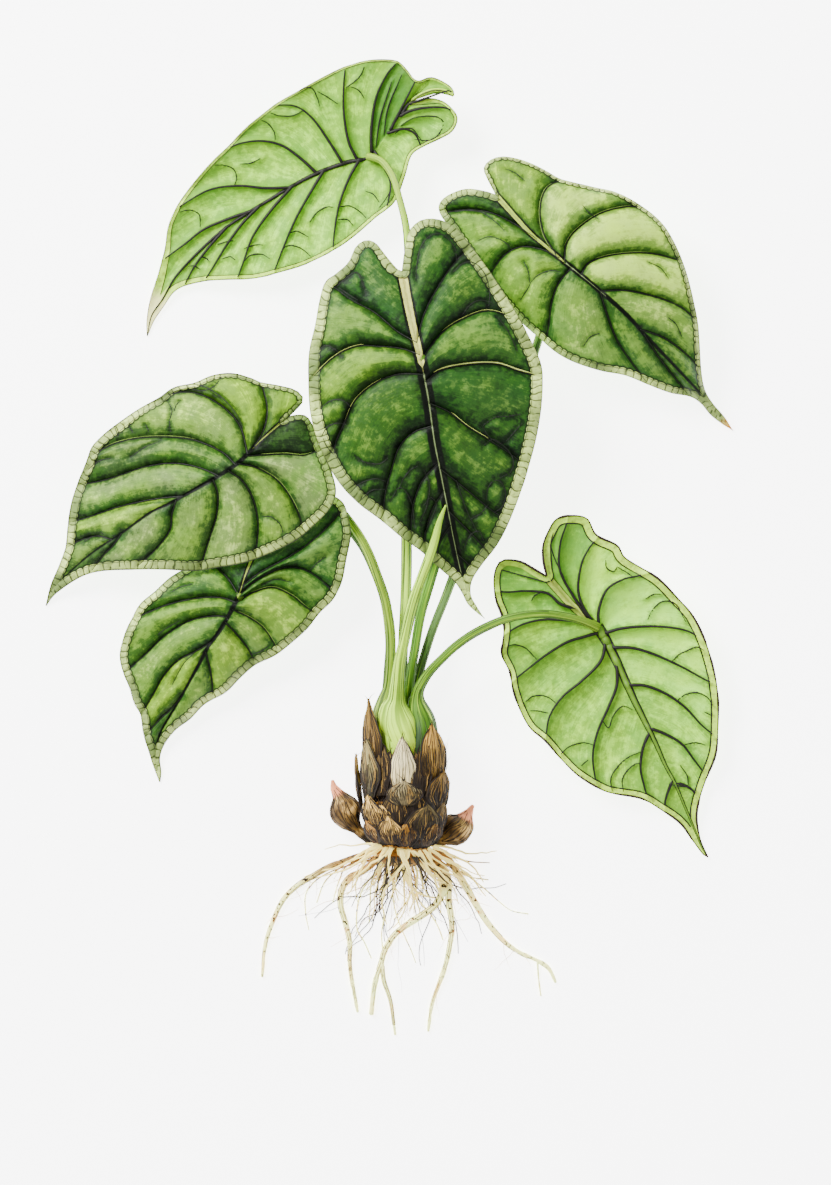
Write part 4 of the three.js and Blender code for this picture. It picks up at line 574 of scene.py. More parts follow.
def half_row(half, spine, along):
    """Places the points of one row between the spine and the margin, and tells their cell."""
    rim, stations = half
    i = 0
    while i < len(stations) - 2 and along > stations[i + 1]["along"]:
        i += 1
    a, b = stations[i], stations[i + 1]
    t = (along - a["along"]) / (b["along"] - a["along"])
    around = a["around"] + (b["around"] - a["around"]) * (math.sqrt(t) if i == 0 else t)
    core, edge = read_line(spine, along), read_line(rim, around)

    length = float(np.linalg.norm(edge - core))
    fit = min(1.0, length / 14)  # a short row keeps its points in the same proportion
    near, far = np.array(BY_SPINE) * fit, np.array(BY_MARGIN) * fit
    between = ROW_POINTS - len(near) - len(far) + 2
    middle = np.linspace(near[-1], length - far[0], between)[1:-1]
    share = np.concatenate([near, middle, length - far]) / max(length, 1e-6)
    share = np.clip(share, 0, 1) if length > 1e-6 else np.linspace(0, 1, ROW_POINTS)

    # a patch between four lines: the two veins, the spine and the margin
    s = share[:, None]
    lines = (1 - t) * station_points(a, share) + t * station_points(b, share)
    ends = (1 - s) * core + s * edge
    inner, outer = (1 - t) * a["inner"] + t * b["inner"], (1 - t) * a["outer"] + t * b["outer"]
    points = lines + ends - (1 - s) * inner - s * outer
    width = float(np.linalg.norm(a["outer"] - b["outer"]))
    depth = 0.5 * (a["depth"] + b["depth"]) * min(1, width / FULL_CELL)
    bulge = SWELL * depth * math.sin(math.pi * t) * np.sin(np.pi * share**0.8)
    wave = MARGIN_WAVE * math.sin(2 * math.pi * WAVES * around) * math.sin(math.pi * around)
    points[:, 2] += wave * share**4
    return points, bulge, around, i


def row_places(halves, step):
    """The shares of the spine at which the rows of points stand: even steps between the veins."""
    cuts = sorted({s["along"] for _, stations in halves for s in stations})
    rows = []
    for i, (low, high) in enumerate(zip(cuts, cuts[1:])):
        reach = 0
        for rim, stations in halves:
            keys = [s["along"] for s in stations], [s["around"] for s in stations]
            ends = read_line(rim, np.interp([low, high], *keys))
            reach = max(reach, np.linalg.norm(ends[0] - ends[1]))
        steps = max(1, math.ceil(reach / step))
        for k in range(steps):
            share = (k / steps) ** 2 if i == 0 else k / steps
            if steps > 4:
                share -= 0.11 * math.sin(2 * math.pi * share)
            rows.append(low + (high - low) * share)
    return [*rows, 1.0]


def link(mesh, name):
    """Puts the mesh into the scene as an object of that name, at the origin."""
    obj = bpy.data.objects.new(name, mesh)
    bpy.context.scene.collection.objects.link(obj)
    return obj


def piece_of(bm, name, material, merge_mm=None):
    """A smooth piece from the bmesh, its points merged within merge_mm, its faces turned out."""
    if merge_mm is not None:
        bmesh.ops.remove_doubles(bm, verts=bm.verts[:], dist=merge_mm * MM)
        bmesh.ops.recalc_face_normals(bm, faces=bm.faces[:])
    mesh = bpy.data.meshes.new(name)
    bm.to_mesh(mesh)
    bm.free()
    mesh.materials.append(material)
    mesh.shade_smooth()
    return link(mesh, name)


def cords(name, runs, material, resolution=1):
    """Round strands along runs of (x, y, z, radius) points, in millimetres, as one closed mesh."""
    curve = bpy.data.curves.new(name, "CURVE")
    curve.dimensions = "3D"
    curve.bevel_depth = MM
    curve.bevel_resolution = resolution
    curve.use_fill_caps = True
    for run in runs:
        line = curve.splines.new("POLY")
        line.points.add(len(run) - 1)
        for point, (x, y, z, radius) in zip(line.points, run):
            point.co = (x * MM, y * MM, z * MM, 1)
            point.radius = radius
    shape = link(curve, name)
    depsgraph = bpy.context.evaluated_depsgraph_get()
    mesh = bpy.data.meshes.new_from_object(shape.evaluated_get(depsgraph))
    bpy.data.objects.remove(shape)
    mesh.materials.clear()
    mesh.materials.append(material)
    mesh.shade_smooth()
    return link(mesh, name)


class Nodes:
    """Adds shader nodes to a tree in few words."""

    def __init__(self, tree):
        self.tree = tree

    def add(self, kind, inputs=(), **settings):
        node = self.tree.nodes.new(kind)
        for key, value in settings.items():
            setattr(node, key, value)
        for key, value in dict(inputs).items():
            if isinstance(value, bpy.types.NodeSocket):
                self.tree.links.new(value, node.inputs[key])
            else:
                node.inputs[key].default_value = value
        return node

    def math(self, operation, *values, clamp=False):
        node = self.add("ShaderNodeMath", enumerate(values), operation=operation)
        node.use_clamp = clamp
        return node.outputs[0]

    def ease(self, value, low, high):
        """0 below low and 1 above high, or the other way round when high is the lower one."""
        inputs = {"Value": value, "From Min": low, "From Max": high}
        node = self.add("ShaderNodeMapRange", inputs, interpolation_type="SMOOTHSTEP")
        return node.outputs["Result"]

    def part(self, mask, amount):
        """That part of the mask."""
        return self.math("MULTIPLY", mask, amount)

    def mix(self, share, a, b):
        node = self.add("ShaderNodeMix", {0: share, 6: a, 7: b}, data_type="RGBA")
        node.clamp_factor = True
        return node.outputs[2]

    def ramp(self, value, stops):
        """A colour for each value, eased between the (place, colour) stops."""
        node = self.add("ShaderNodeValToRGB", {"Fac": value})
        band = node.color_ramp
        band.interpolation = "EASE"
        while len(band.elements) < len(stops):
            band.elements.new(0.5)
        for element, (place, color) in zip(band.elements, stops):
            element.position = place
            element.color = paint(color)
        return node.outputs["Color"]

    def cloud(self, size_mm, detail=2.0, vector=None, roughness=0.5, distortion=0.0):
        """Noise around 0.5 with features of about that size, on Object coordinates unless told."""
        vector = vector or self.add("ShaderNodeTexCoord").outputs["Object"]
        inputs = {
            "Vector": vector,
            "Scale": 1 / (size_mm * MM),
            "Detail": detail,
            "Roughness": roughness,
            "Distortion": distortion,
        }
        return self.add("ShaderNodeTexNoise", inputs).outputs["Fac"]

    def value(self, name):
        """A number that the mesh carries at each of its points."""
        return self.add("ShaderNodeAttribute", attribute_name=name).outputs["Fac"]

    def wrap(self):
        """The wrap map of a round part: metres along it, and the share of the way round."""
        return self.add("ShaderNodeUVMap", uv_map="wrap").outputs["UV"]

    def finish(self, shader, color, height, strength, depth):
        """Gives the shader its colour, and a relief of that depth in metres."""
        self.tree.links.new(color, shader.inputs["Base Color"])
        relief = {"Height": height, "Strength": strength, "Distance": depth}
        bump = self.add("ShaderNodeBump", relief)
        self.tree.links.new(bump.outputs["Normal"], shader.inputs["Normal"])


LIGHT = 2.2  # how bright white is in the studio below
GREYING, EXPOSURE, FADING, LEAST = 0.12, 0.72, 0.763, 0.10  # what the view does to a bright colour


def paint(code):
    """The linear colour that shows as the six letters in this studio: the view pales and squeezes
    bright colours, so they are stretched and deepened first."""
    shown = np.array([int(code[i : i + 2], 16) / 255 for i in (0, 2, 4)])
    shown = np.where(shown < 0.04, shown / 12.92, ((shown + 0.055) / 1.055) ** 2.4)
    shown += GREYING * (shown.mean() - shown)
    light = EXPOSURE * shown / (1.001 - shown) ** 1.1
    light = light.mean() + (light - light.mean()) / FADING
    light = np.maximum(light, LEAST * light.mean())
    return (*(light / max(LIGHT, light.max() / 0.9)).tolist(), 1.0)


def new_material(name, roughness, specular=0.35):
    material = bpy.data.materials.new(name)
    material.use_nodes = True
    shader = material.node_tree.nodes["Principled BSDF"]
    shader.inputs["Roughness"].default_value = roughness
    shader.inputs["Specular IOR Level"].default_value = specular
    return material, shader, Nodes(material.node_tree)


def granulation():
    """How paint-like pigment gathers on the plant: soft blotches and a fine grain."""
    group = bpy.data.node_groups.new("granulation", "ShaderNodeTree")
    face = group.interface
    face.new_socket("Color", in_out="INPUT", socket_type="NodeSocketColor")
    for name, value in (("Blotch mm", 6.0), ("Blotch", 0.2), ("Grain", 0.12)):
        face.new_socket(name, in_out="INPUT", socket_type="NodeSocketFloat").default_value = value
    face.new_socket("Color", in_out="OUTPUT", socket_type="NodeSocketColor")
    n = Nodes(group)
    given = n.add("NodeGroupInput").outputs
    scale = n.math("DIVIDE", 1 / MM, given["Blotch mm"])
    place = n.add("ShaderNodeTexCoord").outputs["Object"]
    blotch = n.add("ShaderNodeTexNoise", {"Vector": place, "Scale": scale, "Detail": 3.0})
    grain = n.add("ShaderNodeTexNoise", {"Vector": place, "Scale": 1600.0, "Detail": 2.0})
    wide = n.math("MULTIPLY", n.math("SUBTRACT", blotch.outputs["Fac"], 0.5), given["Blotch"])
    fine = n.math("MULTIPLY", n.math("SUBTRACT", grain.outputs["Fac"], 0.5), given["Grain"])
    value = n.math("ADD", 1.0, n.math("MULTIPLY", n.math("ADD", wide, fine), 2.0))
    inputs = {"Color": given["Color"], "Value": value}
    color = n.add("ShaderNodeHueSaturation", inputs).outputs["Color"]
    out = n.add("NodeGroupOutput")
    group.links.new(color, out.inputs["Color"])
    return group


granulation_group = granulation()


def pigment(n, color, blotch_mm, blotch, grain):
    """The colour with blotches of that size and strength, and that much grain."""
    node = n.add("ShaderNodeGroup", node_tree=granulation_group)
    for key, value in (("Blotch mm", blotch_mm), ("Blotch", blotch), ("Grain", grain)):
        node.inputs[key].default_value = value
    n.tree.links.new(color, node.inputs["Color"])
    return node.outputs["Color"]


def leaf_face(n, look, wander, strokes):
    """The colour of both faces of the flesh between the veins."""
    edge, nerve, reach = n.value("edge"), n.value("nerve"), look["reach"]
    vein, core = (n.math("ADD", n.value(name), wander) for name in ("vein", "core"))
    within = n.math("SUBTRACT", edge, n.value("margin"))
    blotch = n.cloud(8, 4, roughness=0.6)
    dabs = n.ease(n.cloud(3.2, 4, roughness=0.7), 0.42, 0.62)
    shade_side = n.math("MULTIPLY_ADD", n.value("shade_side"), 0.75, 0.9)
    # painted shade: the green darkens beside the veins, more widely on the side away from the
    # lamp, and beside the midrib, the nerves and the pale margin
    shades = [
        (n.ease(vein, reach, 0), 0.5),
        (n.part(n.ease(vein, reach * 3.0, 0), shade_side), 0.5),
        (n.ease(core, 7, 0), 0.45),
        (n.ease(n.math("ADD", nerve, wander), look["fine"][0], 0), look["fine"][1]),
        (n.ease(n.math("ADD", within, wander), 3.2, 0), 0.4),
    ]
    light = n.value("tone")
    for mask, amount in shades:
        kept = n.math("MULTIPLY_ADD", mask, -look["shade"] * amount, 1.0)
        light = n.math("MULTIPLY", light, kept)
    amounts = (0.44, 0.36, 0.14) if look["up"] > 0 else (0.26, 0.36, 0.12)
    for mask, amount in zip((blotch, strokes, dabs), amounts):
        light = n.math("MULTIPLY_ADD", n.math("SUBTRACT", mask, 0.5), amount, light)
    light = n.math("ADD", light, 0, clamp=True)

    tint = n.math("SUBTRACT", n.cloud(10, 3), 0.5)
    tinted = 0.9 if look["up"] > 0 else 1.7
    warm = n.math("MULTIPLY_ADD", tint, tinted, n.value("warm"), clamp=True)
    cool_green = n.ramp(
        light, [(0, "0a160a"), (0.2, "1b3d1b"), (0.42, "39702f"), (0.7, "86a662"), (1, "bfcc98")]
    )
    warm_green = n.ramp(
        light, [(0, "0f1a07"), (0.2, "2b4714"), (0.42, "567a24"), (0.7, "98b248"), (1, "c8d678")]
    )
    grey_green = n.ramp(
        light, [(0, "10170c"), (0.2, "2a3a22"), (0.42, "536641"), (0.7, "919f74"), (1, "bfc8a2")]
    )
    face = n.mix(warm, cool_green, warm_green)
    dusty = n.part(n.ease(n.cloud(14, 2), 0.25, 0.6), n.math("SUBTRACT", 1.0, warm))
    face = n.mix(n.part(dusty, look.get("dusty", 0.25)), face, grey_green)
    ink = n.math("MINIMUM", n.value("vein"), n.value("band"))
    ink = n.math("MULTIPLY_ADD", wander, 0.12, ink)
    face = n.mix(n.ease(ink, 0.5, -0.1), face, paint("0a1406"))
    cool_back = n.ramp(light, [(0, "2f5f24"), (0.4, "699a48"), (0.7, "92ba6a"), (1, "bcd692")])
    warm_back = n.ramp(light, [(0, "3f6f1a"), (0.4, "7aa02c"), (0.7, "a2c048"), (1, "c6da6c")])
    return n.mix(n.value("upper"), n.mix(warm, cool_back, warm_back), face)


def leaf_rib(n, name, wander, color):
    """The colour with the cream rib that runs on from the stalk, edged with a dark line."""
    fair, deep = ("d8d8b0", "a3a878") if name == "center" else ("cfd69c", "98a866")
    core = n.math("ADD", n.value("core"), wander)
    cream = n.mix(n.cloud(3, 3), paint(fair), paint(deep))
    cream = n.mix(n.part(n.ease(core, 0.6, 0.0), 0.5), cream, paint("8c8a52"))
    cream = n.mix(n.value("far"), cream, paint("97a380"))
    rib = n.math("MULTIPLY_ADD", wander, 0.06, n.value("rib"))
    color = n.mix(n.ease(rib, 0.55, 0.15), color, paint("1c260e"))
    return n.mix(n.ease(rib, 0.12, -0.12), color, cream)


def leaf_material(name, look):
    material, shader, n = new_material(f"leaf {name}", 0.5, 0.12)
    edge, upper = n.value("edge"), n.value("upper")
    wander = n.part(n.math("SUBTRACT", n.cloud(3.0, 3, roughness=0.65), 0.5), 3.4)
    along, inward = n.math("DIVIDE", n.value("run"), 1.1), n.math("DIVIDE", edge, 11)
    strokes = n.add("ShaderNodeCombineXYZ", {0: along, 1: inward}).outputs[0]
    strokes = n.cloud(1000, 3, strokes, 0.7, 0.6)
    color = leaf_face(n, look, wander, strokes)
    color = leaf_rib(n, name, wander, color)

    # the margin is beaded: one bead every BEAD millimetres, some deeper in colour than others
    run = n.math("MULTIPLY_ADD", n.cloud(7, 1), 5.0, n.value("bead"))
    beads = n.math("DIVIDE", run, BEAD)
    bead = n.math("MULTIPLY_ADD", n.math("FRACT", beads), 2.0, -1.0)
    middle = n.math("SUBTRACT", 1.0, n.math("ABSOLUTE", bead))
    bulge = n.part(n.math("POWER", middle, 0.5), upper)
    one = {"W": n.math("FLOOR", beads)}
    one = n.add("ShaderNodeTexWhiteNoise", one, noise_dimensions="1D").outputs["Value"]
    within = n.math("SUBTRACT", edge, n.value("margin"))
    inside = n.math("MULTIPLY_ADD", wander, 0.14, n.math("SUBTRACT", within, n.part(bulge, 0.5)))
    if look["up"] > 0:
        pale = n.mix(n.ease(n.cloud(22, 2), 0.35, 0.65), paint("95a572"), paint("d6dcb8"))
        pale = n.mix(n.part(one, 0.45), pale, paint("869a62"))
    else:
        pale = n.mix(n.ease(n.cloud(12, 3), 0.35, 0.65), paint("c8d788"), paint("dbe5ac"))
    pale = n.mix(n.part(n.ease(n.cloud(2, 3), 0.45, 0.7), 0.5), pale, paint("8a9a62"))
    seen = n.part(upper, n.ease(n.cloud(4, 1), 0.3, 0.45))
    gap = n.part(n.ease(middle, 0.30, 0.08), seen)
    pale = n.mix(n.part(gap, 0.85), pale, paint("33401c"))
    pale = n.mix(n.part(n.ease(edge, 0.6, 0.15), 0.6), pale, paint("6f7a4a"))
    if "tip" in look:
        pale = n.mix(n.value("tip"), pale, paint(look["tip"][1]))
    color = n.mix(n.ease(inside, 0.25, -0.1), color, pale)
    line = n.ease(n.math("ABSOLUTE", n.math("SUBTRACT", inside, 0.35)), 0.5, 0.15)
    line = n.part(line, n.math("MULTIPLY_ADD", upper, 0.75, 0.1))
    color = n.mix(line, color, paint("18220e"))
    color = pigment(n, color, 5.0, 0.06, 0.09)

    on_margin = n.ease(inside, 0.3, -0.3)
    relief = n.math("MULTIPLY_ADD", n.cloud(0.6, 2), 0.4, n.part(n.cloud(2.2, 4), 0.9))
    relief = n.math("MULTIPLY_ADD", strokes, 0.5, relief)
    relief = n.math("MULTIPLY_ADD", n.part(bulge, on_margin), 0.9, relief)
    n.finish(shader, color, relief, 0.45, 0.0007)
    return material


def line_material(name, code, other, roughness=0.6):
    material, shader, n = new_material(name, roughness)
    color = n.mix(n.cloud(3, 3), paint(code), paint(other))
    n.tree.links.new(color, shader.inputs["Base Color"])
    return material


line_colors = {
    "vein": line_material("sunken vein", "0d140a", "26301a"),
    "back": line_material("raised vein", "100e0a", "2c2616"),
    # the pale and soft lines are painted highlights beside the veins
    "pale": line_material("vein highlight", "d3d6ac", "a3b07c"),
    "soft": line_material("soft vein highlight", "b4c488", "8aa15c"),
    "rim": line_material("margin line", "6a7350", "2f351c"),
    "brown": line_material("brown margin line", "120e08", "4a2416"),
    "inner": line_material("inner margin line", "141c0c", "3a4522"),
    "green": line_material("underside midrib", "6f9a3a", "9fb85a"),
}


def blade_rows(data, look, spine, halves):
    """The blade's points in rows from the sinus to the tip, and what is known of each by its row:
    its bulge, its place along the margin, the margin's width there, and its cell's two tones."""
    lengths = [length_of(rim) for rim, _ in halves]
    grid, bulge, run, margin, tone = [], [], [], [], []
    for along in row_places(halves, ROW_STEP):
        sides = [half_row(half, spine, along) for half in halves]
        grid.append(np.vstack([sides[1][0][::-1], sides[0][0][1:]]))
        bulge.append(np.concatenate([sides[1][1][::-1], sides[0][1][1:]]))
        columns = [1] * ROW_POINTS + [0] * (ROW_POINTS - 1)
        widths = [np.interp(sides[k][2], np.linspace(0, 1, 6), look["margins"][k]) for k in (0, 1)]
        run.append([sides[k][2] * lengths[k] for k in columns])
        margin.append([widths[k] for k in columns])
        tone.append([data["cells"][k][sides[k][3]] for k in columns])
    return np.array(grid), np.array(bulge), np.array(run), np.array(margin), np.array(tone, float)


def inner_margin_lines(grid, from_margin):
    """The two lines where the flesh ends and the pale margin begins."""
    half = grid.shape[1] // 2
    lines = []
    for order in (range(half, grid.shape[1]), range(half, -1, -1)):
        path = []
        for points, marks in zip(grid, from_margin):
            for a, b in zip(order, order[1:]):
                if marks[a] > 0 >= marks[b]:
                    t = marks[a] / (marks[a] - marks[b])
                    path.append(points[a, :2] * (1 - t) + points[b, :2] * t)
                    break
        lines.append(np.array(path))
    return lines


def blade_thickness(edge):
    """The blade thins towards its margin."""
    return BLADE_THICK * (THIN_EDGE + (1 - THIN_EDGE) * np.clip(edge / 3, 0, 1))


def build_blade(name, data, look):
    up = look["up"]
    spine = smooth_line(data["spine"], SPINE_STEPS)
    halves = [blade_half(data, spine, side) for side in (0, 1)]
    rims = [rim for rim, _ in halves]
    grid, bulge, run, margin, tone = blade_rows(data, look, spine, halves)
    rows, columns = grid.shape[:2]
    flat, bulge, tone = grid.reshape(-1, 3), bulge.ravel(), tone.reshape(-1, 2)

    # how far each point is from the veins, the nerves, the midrib and the margin
    far = 99.0
    lines = [s["line"] for _, stations in halves for s in stations[1:-2]]
    vein, ink, nerve = (np.full(len(flat), far) for _ in range(3))
    shade_side = np.zeros(len(flat))
    for line in lines:
        gap, share = away_from(flat, line)
        aside = flat[:, :2] - read_line(line, share)
        aside /= np.maximum(np.linalg.norm(aside, axis=1), 0.3)[:, None]
        # how far the point lies on its nearest vein's side towards the upper-left lamp, where
        # painted shade deepens
        shade_side = np.where(gap < vein, aside @ (-0.45, 0.9), shade_side)
        vein = np.minimum(vein, gap)
        ink = np.minimum(ink, gap - look["vein"] * (1 - 0.5 * share))
    fine = [smooth_line(path, NERVE_STEPS) for path in data["nerves"]]
    for line in fine:
        nerve = np.minimum(nerve, away_from(flat, line)[0])
    core, share = away_from(flat, spine)
    band = core - np.interp(share, *zip(*look["band"]))
    rib = core + 9
    if look["rib"]:
        half_width = np.interp(share, *zip(*look["rib"]))
        rib = np.where(half_width < 0.02, 9, core - half_width)
    (edge, bead), (other, share_there) = [away_from(flat, rim) for rim in rims]
    lengths = [length_of(rim) for rim in rims]
    bead = np.where(edge < other, bead * lengths[0], share_there * lengths[1] + 1.3)
    edge = np.minimum(edge, other)

    # the relief of the upper face, turned over for the underside
    grooves = 0.75 * np.exp(-((vein / 1.1) ** 2)) + 0.4 * np.exp(-((nerve / 0.9) ** 2))
    nearest = np.minimum(np.minimum(vein, nerve), core)
    quilt = 1.7 * (1 - np.exp(-nearest / 2.8)) * (1 - np.exp(-edge / 4))
    ridge = RIDGE * np.exp(-((core / 1.3) ** 2)) * (1 - share)
    if up > 0:
        ridge = np.where(share < RIB_REACH, ridge, -0.4 * np.exp(-((core / 1.2) ** 2)))
        ridge += 0.45 * np.exp(-((core / 0.4) ** 2)) * (share > RIB_REACH) * (name == "center")
    z = flat[:, 2] + up * (bulge + quilt - grooves + ridge)
    for i, (x, y, _) in enumerate(flat):
        z[i] += 0.3 * noise.noise(Vector((x / 7, y / 7, 0.3)))
        z[i] += 0.16 * noise.noise(Vector((x / 2.4, y / 2.4, 5.0)))
    thick = blade_thickness(edge)
    top = np.maximum(z + thick / 2, thick + 0.05)
    tip_start = look["tip"][0] if "tip" in look else 2
    values = {
        "tone": tone[:, 0], "warm": tone[:, 1], "vein": ink, "nerve": nerve, "core": core,
        "band": band, "rib": rib, "shade_side": shade_side, "far": 1.0 * (share > RIB_REACH),
        "tip": np.clip((share - tip_start) / 0.05, 0, 0.8),
        "edge": edge, "bead": bead, "run": run.ravel(), "margin": margin.ravel(),
        "upper": np.full(len(flat), 1.0 if up > 0 else 0.0),
    }

    bm = bmesh.new()
    bmesh.ops.create_grid(bm, x_segments=columns - 1, y_segments=rows - 1, size=0.5)
    layers = {key: bm.verts.layers.float.new(key) for key in values}
    for vert in bm.verts:
        column = round((vert.co.x + 0.5) * (columns - 1))
        i = round((vert.co.y + 0.5) * (rows - 1)) * columns + column
        vert.co = (flat[i, 0] * MM, flat[i, 1] * MM, top[i] * MM)
        for key, layer in layers.items():
            vert[layer] = values[key][i]
    surface = BVHTree.FromBMesh(bm)
    made = bmesh.ops.extrude_face_region(bm, geom=bm.faces[:], use_keep_orig=True)
    for vert in made["geom"]:
        if isinstance(vert, bmesh.types.BMVert):
            vert.co.z -= blade_thickness(vert[layers["edge"]]) * MM
            vert[layers["upper"]] = 1 - vert[layers["upper"]]
    piece = piece_of(bm, f"leaf_{name}", leaf_material(name, look), 0.02)
    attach(piece, "root")
    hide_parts(f"blade_{name}")

    def drape(line, radii, sink, inset=0.0):
        """Lays a strand on the blade; it stops short of the margin by the inset."""
        points = []
        room = np.minimum(*[away_from(line, rim)[0] for rim in rims])
        for (x, y), radius, left in zip(line[:, :2], radii, room):
            hit = surface.ray_cast(Vector((x * MM, y * MM, 1)), Vector((0, 0, -1)))[0]
            if hit and left >= inset:
                points.append((x, y, hit.z / MM - sink * radius, radius))
        return points

    def strands(kind, color, runs):
        runs = [run for run in runs if len(run) > 2]
        if runs:
            piece = cords(f"{kind}_{name}", runs, line_colors[color])
            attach(piece, "root")

    # nerves and veins, thicker on the underside, where they stand out
    runs = []
    inset = min(min(side[1:5]) for side in look["margins"])
    for line in fine:
        swell = np.sin(np.linspace(0.3, math.pi - 0.3, len(line)))
        runs.append(drape(line, (0.12 + 0.16 * swell) * (1.2 if up < 0 else 1), 0.3))
    for line in lines:
        if up < 0:
            start = read_line(spine, nearest_share(spine, line[0]))[:2]
            line = np.vstack([[start], line[:, :2]])
        thick_to_thin = np.linspace(*((0.8, 0.32) if up < 0 else (0.36, 0.16)), len(line))
        if name == "right_lower":
            from_midrib = np.linalg.norm(line[:, :2] - line[0, :2], axis=1)
            thick_to_thin *= np.clip(from_midrib / 2.4, 0.2, 1)
        runs.append(drape(line, thick_to_thin, 0.4, inset))
    strands("veins", "vein" if up > 0 else "back", runs)

    # painted highlights: pale lines beside some veins, on their upper side, towards the lamp
    runs = []
    for side, index, start, end, radius in look["pale"]:
        line = halves[side][1][index]["line"]
        line = line[int(start * VEIN_STEPS) : int(end * VEIN_STEPS)]
        off = to_the_left(line)
        off *= np.sign(off[:, 1:].mean())
        swell = np.clip(np.sin(np.linspace(0.15, math.pi - 0.1, len(line))) * 2, 0, 1)
        runs.append(drape(line + off * (0.3 + radius), radius * swell, 0.4))
    strands("pale_veins", "pale" if name == "center" else "soft", runs)

    # the midrib of the undersides, from where the stalk joins
    if name == "top_left":
        tail = spine[int(0.185 * SPINE_STEPS) :]
        wide = np.linspace(1.15, 0.25, len(tail)) * np.minimum(1, (np.arange(len(tail)) + 2) / 9)
        strands("midrib", "back", [drape(tail, wide, 0.4)])
    if name == "right_lower":
        tail = spine[int(0.225 * SPINE_STEPS) :]
        along = np.linspace(0, 1, len(tail))
        wide = np.interp(along, (0, 0.12, 0.4, 0.6, 1), (2.1, 1.6, 0.95, 0.5, 0.12))
        strands("midrib", "green", [drape(tail, wide, 0.4)])
        off = to_the_left(tail[:, :2])
        sides = []
        for sign, radius in ((-1, 0.45), (1, 0.62)):
            beside = tail[:, :2] + off * sign * (wide + 0.1)[:, None]
            sides.append(drape(beside, np.linspace(radius, 0.12, len(tail)), 0.1))
        strands("midrib_lines", "back", sides)

    # the seam of the pale margin, and the thin line round the blade
    radius = {"right_lower": 0.36, "top_left": 0.2}.get(name, 0.14)
    seams = inner_margin_lines(grid, edge.reshape(rows, columns) - margin)
    runs = [drape(line, np.full(len(line), radius), 0.3) for line in seams if len(line)]
    strands("margin_seam", "back" if name == "right_lower" else "inner", runs)
    outline = np.column_stack([flat[:, :2], top - 0.1, np.full(len(flat), look["rim"])])
    outline = outline.reshape(rows, columns, 4)
    runs = []
    for line, sign in ((outline[:, 0], 1), (outline[:, -1], -1)):
        line = line[np.linalg.norm(line[:, :2] - np.roll(line[:, :2], 1, axis=0), axis=1) > 0.05]
        line[:, :2] += sign * 0.12 * to_the_left(line[:, :2])
        line[:, 3] *= 1 + 0.35 * np.sin(np.arange(len(line)) / 4)
        runs.append(line)
    strands("margin_edge", "brown" if name == "right_lower" else "rim", runs)


for name, data in blades.items():
    build_blade(name, data, blade_looks[name])
